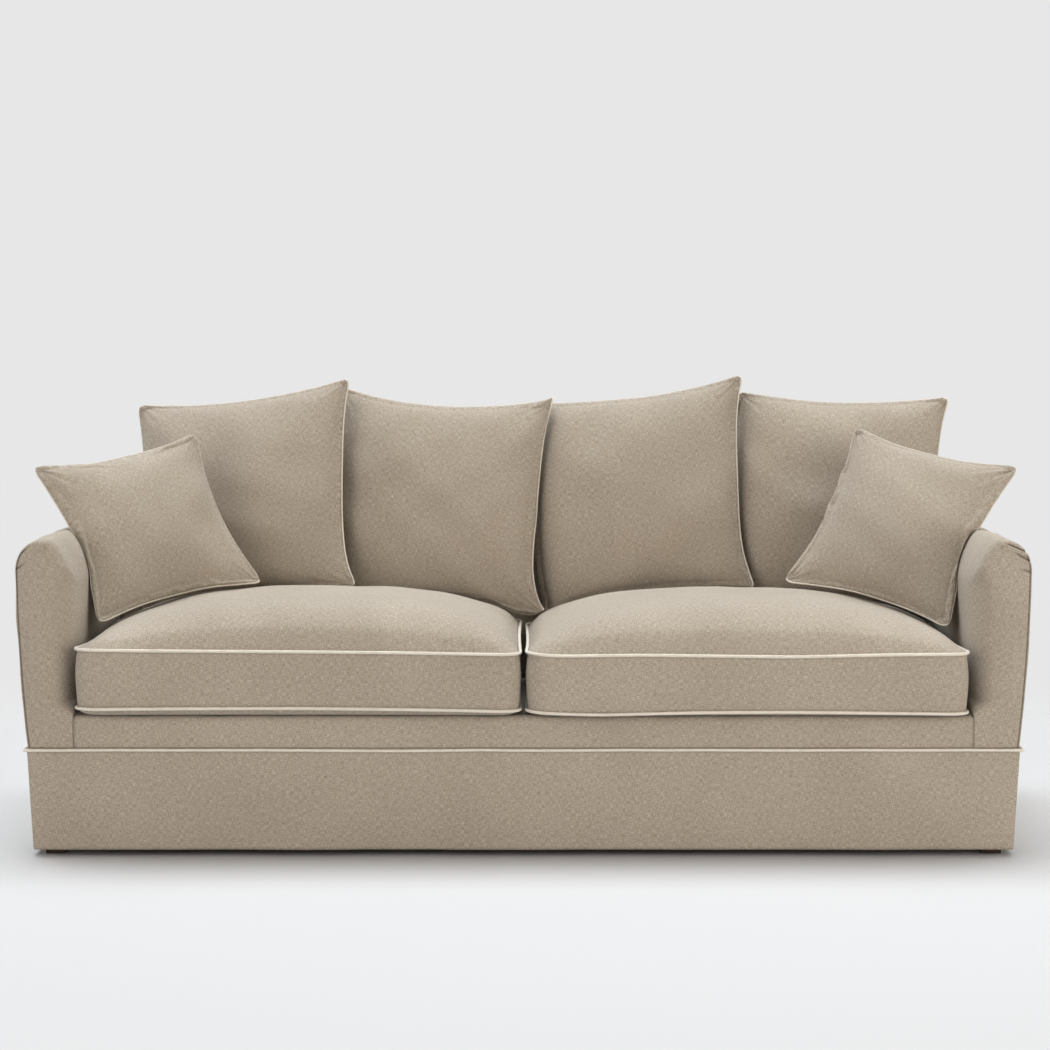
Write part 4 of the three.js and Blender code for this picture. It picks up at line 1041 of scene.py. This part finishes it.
loose = {
    "grid": 112,
    "gridEase": 0.45,
    "seatHeight": 0.435,     # that the cushions' places are counted from
    "plumpPower": 0.52,
    "faceMargin": 0.0015,
    "seamMargin": 0.0091,
    "planeMargin": -0.0012,  # beside the margin, off the back and the neighbours
    "partingTurn": math.radians(-56),
    "lap": (-0.012, 0.016),  # of the cushion before over the one behind: at half height, and at the ears
    "lapHalf": 0.25,         # from half height to the ears
    "pipingRadius": 0.0018,
    "pipingStand": (-0.0006, 0.0008),    # off the seam where it is tucked in, and where it shows
    "pipingSet": (0.0018, -0.0006),      # behind the middle of the seam, in the same two places
    "pipingPoints": 520,
    "puckers": 0.0014,
    "puckerReach": 0.022,
    "unevenness": 0.0022,
    "edgeWave": 0.0022,
    "rearLowFill": 0.1,
    "creases": (24, 47, 68),             # at each ear, degrees up from the side
    "creaseDepth": 0.0026,
    "dentSpread": 60,        # turns of averaging
    "armMargin": 0.0065,
    "armHold": 0.55,         # share of its distance from an arm that a cushion keeps after that
}
# The seam rolls forwards towards "shown", across and up in the plane of the cushion
backCushion = {"size": 0.520, "thick": 0.196, "slump": 0.030, "bottomDraw": 0.05, "sidePower": 4,
               "sideSkew": 0.5, "shown": (1, 0), "armGap": 0, "earRound": 0.022, "lowFill": -0.05}
scatterCushion = {"size": 0.410, "thick": 0.140, "slump": 0.014, "bottomDraw": 0.13, "sidePower": 2,
                  "sideSkew": 0, "shown": (0, -1), "armGap": 0, "earRound": 0.030, "lowFill": -0.30,
                  "leftDraw": 0, "rightDraw": 0, "lowDrop": 0}
backCushions = [
    {"name": "1", "body": "first_back_cushion", "across": -0.685, "rise": 0.589, "off": 0.476,
     "wide": 1.034, "tall": 0.973, "turn": -15.6, "lean": 17.2, "roll": 7.6, "sideDraw": 0.068,
     "topDraw": 0.10, "leftDraw": 0, "rightDraw": 0.04, "lowDrop": 0, "seed": 71},
    {"name": "2", "body": "second_back_cushion", "across": -0.200, "rise": 0.534, "off": 0.480,
     "wide": 1.028, "tall": 1.019, "turn": -6, "lean": 16, "roll": -2.4, "sideDraw": 0.08,
     "topDraw": 0.14, "leftDraw": -0.09, "rightDraw": 0.08, "lowDrop": 0, "seed": 81},
    {"name": "3", "body": "third_back_cushion", "across": 0.284, "rise": 0.605, "off": 0.496,
     "wide": 1.012, "tall": 0.992, "turn": -5, "lean": 16, "roll": 4.5, "sideDraw": 0.07,
     "topDraw": 0.137, "leftDraw": -0.09, "rightDraw": 0.055, "lowDrop": 0.030, "seed": 91},
    {"name": "4", "body": "fourth_back_cushion", "across": 0.781, "rise": 0.555, "off": 0.400,
     "wide": 0.985, "tall": 0.99, "turn": -2, "lean": 16, "roll": -1.6, "sideDraw": 0.09,
     "topDraw": 0.09, "leftDraw": -0.14, "rightDraw": 0.05, "lowDrop": 0, "seed": 101},
]
scatterCushions = [
    {"name": "left", "body": "left_scatter_cushion", "across": -0.882, "rise": 0.605, "off": 0.569,
     "wide": 1.042, "tall": 0.982, "turn": 31, "lean": 31, "roll": 10.6, "sideDraw": 0.15,
     "topDraw": 0.12, "armGap": 0.005, "seed": 111},
    {"name": "right", "body": "right_scatter_cushion", "across": 0.886, "rise": 0.584, "off": 0.571,
     "wide": 1.022, "tall": 1.026, "turn": -26, "lean": 31, "roll": -13.4, "sideDraw": 0.15,
     "topDraw": 0.12, "seed": 121},
]


def turnAbout(axis, angle):  # 3 by 3 rotation about one axis
    c, s = math.cos(angle), math.sin(angle)
    return np.array({"x": [[1, 0, 0], [0, c, -s], [0, s, c]],
                     "y": [[c, 0, s], [0, 1, 0], [-s, 0, c]],
                     "z": [[c, -s, 0], [s, c, 0], [0, 0, 1]]}[axis], float)


# Place and frame of a cushion: turned about the upright, leant back, then rolled in its own plane
def placed(cushion, kind, offThickness):
    spec = kind | cushion
    spec["wide"], spec["tall"] = cushion["wide"] * kind["size"], cushion["tall"] * kind["size"]
    z = loose["seatHeight"] + cushion["rise"] * spec["tall"]
    off = cushion["off"] * offThickness / math.cos(sofa["backRake"])
    spec["place"] = np.array([cushion["across"] * sofa["innerHalf"], insideBackAt(z) - off, z])
    spec["angles"] = [math.radians(cushion[key]) for key in ("turn", "lean", "roll")]
    turn, lean, roll = spec["angles"]
    spec["matrix"] = turnAbout("z", turn) @ turnAbout("x", -lean) @ turnAbout("y", -roll)
    spec["planes"] = []
    return spec


def middleAt(spec, x, z):  # depth of a cushion's middle plane over a place
    turn, lean, roll = spec["angles"]
    px, py, pz = spec["place"]
    return py + (x - px) * math.tan(turn) + (z - pz) * math.tan(lean)


def partNeighbours(front, behind):  # shingled neighbours press on one shared surface
    x = ((front["place"][0] + front["wide"] / 2 * math.cos(front["angles"][0]))
         + (behind["place"][0] - behind["wide"] / 2 * math.cos(behind["angles"][0]))) / 2
    z = (front["place"][2] + behind["place"][2]) / 2
    point = np.array([x, (middleAt(front, x, z) + middleAt(behind, x, z)) / 2, z])
    along = np.array([math.cos(loose["partingTurn"]), math.sin(loose["partingTurn"]), 0])
    rising = np.array([0, math.sin(sofa["backRake"]), math.cos(sofa["backRake"])])
    normal = np.cross(along, rising)
    normal /= np.linalg.norm(normal)
    front["planes"].append((point, normal, 1))
    behind["planes"].append((point, -normal, -1))


armSkin = armPath(80)


def clearArm(points, margin):  # out of the arm to a margin off the nearest stretch of its outline
    side, flat = np.sign(points[:, 0]), np.column_stack([np.abs(points[:, 0]), points[:, 2]])
    start, stretch = armSkin[:-1], np.diff(armSkin, axis=0)
    reach = ((flat[:, None] - start) * stretch).sum(-1) / (stretch ** 2).sum(-1)
    feet = start + stretch * np.clip(reach, 0, 1)[..., None]
    distance = np.linalg.norm(flat[:, None] - feet, axis=-1)
    nearest = distance.argmin(1)
    rows = np.arange(len(flat))
    foot, distance = feet[rows, nearest], distance[rows, nearest]
    left = np.column_stack([-stretch[:, 1], stretch[:, 0]])[nearest]
    left /= np.linalg.norm(left, axis=1, keepdims=True)
    inside = ((flat - foot) * left).sum(1) < 0
    away = (flat - foot) / np.maximum(distance, 1e-9)[:, None]
    away = np.where((inside | (distance < 1e-7))[:, None], left, away)
    moved = foot + away * margin[:, None]
    wanted = (inside | (distance < margin)) & (flat[:, 1] > 0.35)
    flat = np.where(wanted[:, None], moved, flat)
    return np.column_stack([side * flat[:, 0], points[:, 1], flat[:, 1]])


def pressed(spec, points, margin):
    flatMargin = margin + loose["planeMargin"]
    points = points.copy()
    for turn in range(3):
        for base, normal, way in spec["planes"]:
            upOrDown = np.clip((points[:, 2] - base[2]) / loose["lapHalf"], -1, 1)
            height = (points - base) @ normal + way * lerp(*loose["lap"], upOrDown ** 2)
            points += np.maximum(flatMargin - height, 0)[:, None] * normal
        wall = insideBackAt(points[:, 2]) - flatMargin / math.cos(sofa["backRake"])
        points[:, 1] = np.minimum(points[:, 1], wall)
        armGap = loose["armMargin"] + spec["armGap"] * falling(points[:, 2], 0.60, 0.05)
        points = clearArm(points, spec["hold"] * armGap)
        points[:, 2] = np.maximum(points[:, 2], seatTopAt(points[:, 0], points[:, 1]) + margin)
    return points


gridShares = np.linspace(0, 1, loose["grid"] + 1)
gridLines = lerp(2 * gridShares - 1, -np.cos(gridShares * math.pi), loose["gridEase"])


# Creases that run in from the four ears, each a valley with a ridge beside it
def earCreases(u, v, halfWide, halfTall, seed):
    total = 0
    for cu, cv in ((-1, -1), (-1, 1), (1, -1), (1, 1)):
        a, b = (1 - cu * u) * halfWide, (1 - cv * v) * halfTall
        far, angle = np.hypot(a, b), np.degrees(np.arctan2(b, a + 1e-9))
        reach = smooth(far / 0.02) * (1 - rising(far, 0.03, 0.08))
        for k, middle in enumerate(loose["creases"]):
            bent = middle + 5 * math.sin(seed + 2 * k + cu + 3 * cv)
            uneven = 0.6 + 0.4 * math.sin(seed * 1.7 + k * 2.1 + cu * 1.3 + cv)
            depth = loose["creaseDepth"] * uneven
            total = total - depth * bump(angle, bent, 6) * reach
            total = total + 0.6 * depth * bump(angle, bent + 11, 7) * reach
    return total


# Points of a face: across and up with round ears and drawn-in sides, out by fill ^ power, fuller below,
# with puckers along the seam
def cushionFace(spec, u, v, face):
    fill = (1 - u * u) * (1 - v * v)
    halfWide, halfTall, ear = spec["wide"] / 2, spec["tall"] / 2, spec["earRound"]
    fromSide, fromEnd = (1 - np.abs(u)) * halfWide, (1 - np.abs(v)) * halfTall
    p, q = ear - fromSide, ear - fromEnd
    inEar = (p > 0) & (q > 0)
    pull = np.where(inEar, np.maximum(p, q) / np.maximum(np.hypot(p, q), 1e-9), 1)
    ru = np.where(inEar, np.sign(u) * (1 - (ear - p * pull) / halfWide), u)
    rv = np.where(inEar, np.sign(v) * (1 - (ear - q * pull) / halfTall), v)
    across = halfWide * ru * (1 - spec["sideDraw"] * (1 - np.abs(v) ** spec["sidePower"])
                              * (1 - spec["sideSkew"] * v))
    sideways = np.where(u > 0, spec["rightDraw"], spec["leftDraw"])
    across = across - halfWide * sideways * u * (1 - v ** 4)
    draw = lerp(spec["bottomDraw"], spec["topDraw"], (1 + v) / 2)
    rise = halfTall * rv * (1 - draw * (1 - u * u)) - spec["slump"] * fill
    for cv in (1, -1):  # the left ears hang lower
        rise = rise - spec["lowDrop"] * ((1 - u) / 2 * (1 + cv * v) / 2) ** 3
    lowFill = spec["lowFill"] if face > 0 else loose["rearLowFill"]
    out = face * spec["thick"] / 2 * np.maximum(fill, 0) ** loose["plumpPower"] * (1 - lowFill * v)
    fromSeam = np.minimum(fromSide, fromEnd)
    alongSeam = np.where(fromSide < fromEnd, v * halfTall + 5, u * halfWide)
    seed = spec["seed"] + (3 if face < 0 else 0)
    pucker = loose["puckers"] * softNoise(alongSeam, fromSeam * 0.3, 0.03, seed)
    pucker = pucker * np.exp(-fromSeam / loose["puckerReach"]) * smooth(fromSeam / 0.006)
    flat = u * halfWide, v * halfTall
    lumps = loose["unevenness"] * softNoise(*flat, 0.15, seed + 1) * smooth(fromSeam / 0.05)
    out = out + face * (pucker + lumps + earCreases(u, v, halfWide, halfTall, seed))
    edgeWave = loose["edgeWave"] * softNoise(*flat, 0.21, spec["seed"] + 9)
    points = np.stack([across, -out + edgeWave, rise], -1) @ spec["matrix"].T + spec["place"]
    return points, lerp(loose["faceMargin"], loose["seamMargin"], (1 - fill) ** 4)


def evened(field, turns):  # a grid of vectors, each averaged with its four neighbours
    for turn in range(turns):
        wide = np.pad(field, ((1, 1), (1, 1), (0, 0)), mode="edge")
        field = (field + wide[:-2, 1:-1] + wide[2:, 1:-1] + wide[1:-1, :-2] + wide[1:-1, 2:]) / 5
    return field


def pressedGrid(spec, points, margin):
    return pressed(spec, points.reshape(-1, 3), margin.reshape(-1)).reshape(points.shape)


# Pressed clear of what it touches, and the dents then spread a little way through the filling
def nestled(spec, points, margin):
    spec["hold"] = 1
    dent = pressedGrid(spec, points, margin) - points
    spec["hold"] = loose["armHold"]
    return pressedGrid(spec, points + evened(dent, loose["dentSpread"]), margin)


# Cloth trials: the pieces swell and settle together for some frames, then report how far they moved

cloth = {
    "frames": 20,
    "pressure": 4.0,
    "growth": 0.012,         # cloth cut larger than the filling
    "cap": 0.008,            # no point moves further
    "step": 2,               # rows of a piece for each row of its trial
    "trials": [],
}


def addTrial(points, faces, held):
    mesh = bpy.data.meshes.new("clothTrial")
    mesh.from_pydata(points.tolist(), [], faces.tolist())
    trial = addObject("clothTrial", mesh)
    trial.vertex_groups.new(name="seam").add(held.tolist(), 1.0, "REPLACE")
    modifier = trial.modifiers.new("cloth", "CLOTH")
    modifier.point_cache.frame_start, modifier.point_cache.frame_end = 1, cloth["frames"]
    settings = modifier.settings
    settings.quality = 5
    settings.mass = 0.25
    settings.tension_stiffness = settings.compression_stiffness = 20
    settings.bending_stiffness = 0.6
    settings.use_pressure = True
    settings.uniform_pressure_force = cloth["pressure"]
    settings.vertex_group_mass = "seam"
    settings.shrink_min = -cloth["growth"]
    settings.effector_weights.gravity = 0
    cloth["trials"].append((trial, points))


def runTrials():  # the moves of every trial, none longer than the cap
    for number in range(1, cloth["frames"] + 1):
        bpy.context.scene.frame_set(number)
    graph = bpy.context.evaluated_depsgraph_get()
    moves = []
    for trial, points in cloth["trials"]:
        settled = np.empty(points.size, np.float32)
        trial.evaluated_get(graph).data.vertices.foreach_get("co", settled)
        move = settled.reshape(-1, 3) - points
        length = np.linalg.norm(move, axis=1, keepdims=True)
        moves.append(move * np.minimum(1, cloth["cap"] / np.maximum(length, 1e-9)))
    for trial, points in cloth["trials"]:
        mesh = trial.data
        bpy.data.objects.remove(trial)
        bpy.data.meshes.remove(mesh)
    bpy.context.scene.frame_set(1)
    print("cloth settled, furthest moves in mm:", [round(1000 * float(np.linalg.norm(m, axis=1).max()), 1)
                                                    for m in moves])
    return moves


def spreadOut(coarse, rows, columns):  # a coarse grid of moves on a grid of more rows and columns
    for axis, wanted in ((0, rows), (1, columns)):
        place = np.linspace(0, coarse.shape[axis] - 1, wanted)
        first = np.minimum(place.astype(int), coarse.shape[axis] - 2)
        share = (place - first).reshape((-1, 1, 1) if axis == 0 else (1, -1, 1))
        coarse = lerp(np.take(coarse, first, axis), np.take(coarse, first + 1, axis), share)
    return coarse


# Both faces of a cushion as one closed mesh that shares the seam: its points, quads and numbering
def joinedFaces(front, rear):
    surface = Surface()
    frontNumbers = surface.addGrid(front)
    rearNumbers = frontNumbers.copy()
    rearNumbers[1:-1, 1:-1] = surface.addGrid(rear[1:-1, 1:-1])
    return surface, frontNumbers, rearNumbers


def shapeLooseCushion(spec):
    v, u = np.meshgrid(gridLines, gridLines, indexing="ij")
    spec["cloth"] = np.stack([u * spec["wide"] / 2, v * spec["tall"] / 2], -1)
    for word, face in (("front", 1), ("rear", -1)):
        points, spec[word + "Margin"] = cushionFace(spec, u, v, face)
        spec[word] = nestled(spec, points, spec[word + "Margin"])
    step = cloth["step"]
    surface, front, rear = joinedFaces(spec["front"][::step, ::step], spec["rear"][::step, ::step])
    surface.addPatch(front, spec["cloth"][::step, ::step])
    surface.addPatch(rear[:, ::-1], spec["cloth"][::step, ::step][:, ::-1])
    points, quads = surface.arrays()[:2]
    seam = np.concatenate([front[0], front[-1], front[1:-1, 0], front[1:-1, -1]])
    addTrial(points, quads[:, ::-1], seam)
    spec["coarse"] = (front, rear)


def makeLooseCushion(word, spec, move):
    if move is not None:
        for which, numbers in zip(("front", "rear"), spec["coarse"]):
            rows, columns = spec[which].shape[:2]
            points = spec[which] + spreadOut(move[numbers], rows, columns)
            spec[which] = pressedGrid(spec, points, spec[which + "Margin"])
    front = spec["front"]
    surface, frontNumbers, rearNumbers = joinedFaces(front, spec["rear"])
    surface.addPatch(frontNumbers, spec["cloth"])
    surface.addPatch(rearNumbers[:, ::-1], spec["cloth"][:, ::-1])
    piece = makePiece(f"{word}Cushion{spec['name'].title()}", surface, linenMaterial)
    settlePiece(piece, spec["body"], "linen", f"{word}_cushion_{spec['name']}")
    seam = np.concatenate([front[0, :-1], front[:-1, -1], front[-1, :0:-1], front[:0:-1, 0]])
    makeCushionPiping(word, spec, seam)


# Tube along the seam, moved outwards in the plane of the cushion by its own radius
def makeCushionPiping(word, spec, seam):
    spread = resampled(np.concatenate([seam, seam[:1]]), loose["pipingPoints"] + 1)[:-1]
    kernel = np.array([1, 2, 3, 2, 1]) / 9
    looped = np.concatenate([spread[-2:], spread, spread[:2]])
    spread = np.stack([np.convolve(axis, kernel, "valid") for axis in looped.T], 1)
    along = unit(np.roll(spread, -1, 0) - np.roll(spread, 1, 0))
    through = spec["matrix"] @ np.array([0.0, 1.0, 0.0])
    outward = unit(np.cross(through, along))
    if ((spread - spread.mean(0)) * outward).sum() < 0:
        outward = -outward
    sideways = np.cross(outward, along)
    local = outward @ spec["matrix"]
    shown = local[:, 0] * spec["shown"][0] + local[:, 2] * spec["shown"][1]
    turned = rising(shown, 0.2, 0.6)[:, None]
    centres = (spread + outward * lerp(*loose["pipingStand"], turned)
               + through * lerp(*loose["pipingSet"], turned))
    piece = makePiece(f"{word}Piping{spec['name'].title()}",
                      tubeLoop(centres, outward, sideways, loose["pipingRadius"], 10), pipingMaterial)
    settlePiece(piece, spec["body"], "piping", f"{word}_piping_{spec['name']}")


backSpecs = [placed(cushion, backCushion, backCushion["thick"]) for cushion in backCushions]
for front, behind in zip(backSpecs, backSpecs[1:]):
    partNeighbours(front, behind)
scatterSpecs = [placed(cushion, scatterCushion, backCushion["thick"] + scatterCushion["size"])
                for cushion in scatterCushions]
looseCushions = [("back", spec) for spec in backSpecs] + [("scatter", spec) for spec in scatterSpecs]
for word, spec in looseCushions:
    shapeLooseCushion(spec)
looseMoves = runTrials()
for (word, spec), move in zip(looseCushions, looseMoves):
    makeLooseCushion(word, spec, move)
print("loose cushions made")


# Studio: a pale floor, a pale surround up to a height and dark above it, soft lights

studio = {
    "surround": 0.800,
    "surroundTop": (0.30, 0.55),     # sine of the elevation where it starts to fall, and where it ends
    "overhead": 0.05,
    "floor": (191, 189, 187),
    "floorHalf": 60,
    "floorFade": (0.9, 3.2),         # distance from the middle where the floor starts to fade, and ends
    "angle": 40,             # width of every light, in degrees
    "lights": [              # name, strength, elevation, heading round from the front, colour
        ("lowLeft", 0.75, 18, -50, (1.0, 0.95, 0.96)),
        ("lowRight", 0.62, 18, 50, (1.0, 0.94, 0.88)),
        ("highLeft", 0.20, 40, -40, (1.0, 0.95, 0.95)),
        ("highRight", 0.30, 40, 40, (1.0, 0.94, 0.88)),
        ("behindRight", 1.75, 68, 140, (0.93, 0.96, 1.0)),
        ("behindLeft", 2.85, 68, 220, (0.90, 0.97, 1.04)),
    ],
    "panel": {"power": 24, "side": 1.0, "place": (3.2, -2.6, 0.55), "towards": (0.95, -0.45, 0.35),
              "colour": (1.0, 0.94, 0.88)},
    "camera": {"lens": 89.79, "sensor": 36, "reach": 200, "place": (0.0032, -5.951, 1.106), "tilt": 85.851},
}


def makeSurround():
    world = bpy.data.worlds.new("studio")
    world.use_nodes = True
    tree = world.node_tree
    direction = addNode(tree, "ShaderNodeTexCoord", "Generated")
    upwards = addNode(tree, "ShaderNodeSeparateXYZ", "Z", {"Vector": direction})
    ends = (*studio["surroundTop"], studio["surround"], studio["overhead"])
    level = addNode(tree, "ShaderNodeMapRange", 0, {0: upwards} | dict(enumerate(ends, 1)),
                    interpolation_type="SMOOTHSTEP")
    surround = tree.nodes["Background"]
    tree.links.new(level, surround.inputs["Strength"])
    surround.inputs["Color"].default_value = (1, 1, 1, 1)
    bpy.context.scene.world = world


def makeFloor():
    surface = Surface()
    span = np.linspace(-studio["floorHalf"], studio["floorHalf"], 13)
    grid = stacked(*np.meshgrid(span, span, indexing="xy"), 0.0)
    surface.addPatch(surface.addGrid(grid), grid[..., :2])
    material, tree, shader = newMaterial("studioFloor", Roughness=0.9, Specular_IOR_Level=0.1,
                                         Base_Color=tone(*studio["floor"]))
    distance = addNode(tree, "ShaderNodeVectorMath", "Value", {0: ownPlace(tree)}, operation="LENGTH")
    first, last = studio["floorFade"]
    fade = addNode(tree, "ShaderNodeMapRange", "Result",
                   {"Value": distance, "From Min": first, "From Max": last},
                   interpolation_type="SMOOTHSTEP")
    clear = addNode(tree, "ShaderNodeBsdfTransparent", "BSDF")
    thinned = addNode(tree, "ShaderNodeMixShader", "Shader", {0: fade, 1: shader.outputs["BSDF"], 2: clear})
    tree.links.new(thinned, tree.nodes["Material Output"].inputs["Surface"])
    floor = makePiece("studioFloor", surface, material, inside=(0, 0, -1))


def addLamp(name, kind, strength, colour, turn):
    light = bpy.data.lights.new(name, kind)
    light.energy, light.color = strength, colour
    lamp = addObject(name, light)
    lamp.rotation_euler = turn
    return lamp


def makeLights():
    for name, strength, elevation, around, colour in studio["lights"]:
        lamp = addLamp(name, "SUN", strength, colour,
                       (math.radians(90 - elevation), 0, math.radians(around)))
        lamp.data.angle = math.radians(studio["angle"])
    panel = studio["panel"]
    x, y, z = (towards - place for towards, place in zip(panel["towards"], panel["place"]))
    lamp = addLamp("panel", "AREA", panel["power"], panel["colour"],
                   (math.atan2(math.hypot(x, y), -z), 0, math.atan2(-x, y)))
    lamp.data.size, lamp.location, lamp.visible_camera = panel["side"], panel["place"], False


def makeCamera():
    values = studio["camera"]
    camera = bpy.data.cameras.new("camera")
    camera.lens, camera.sensor_width, camera.clip_end = values["lens"], values["sensor"], values["reach"]
    holder = addObject("camera", camera)
    holder.location = values["place"]
    holder.rotation_euler = (math.radians(values["tilt"]), 0, 0)
    bpy.context.scene.camera = holder
    bpy.context.scene.view_settings.view_transform = "Standard"


makeSurround()
makeFloor()
makeLights()
makeCamera()
print("studio made")
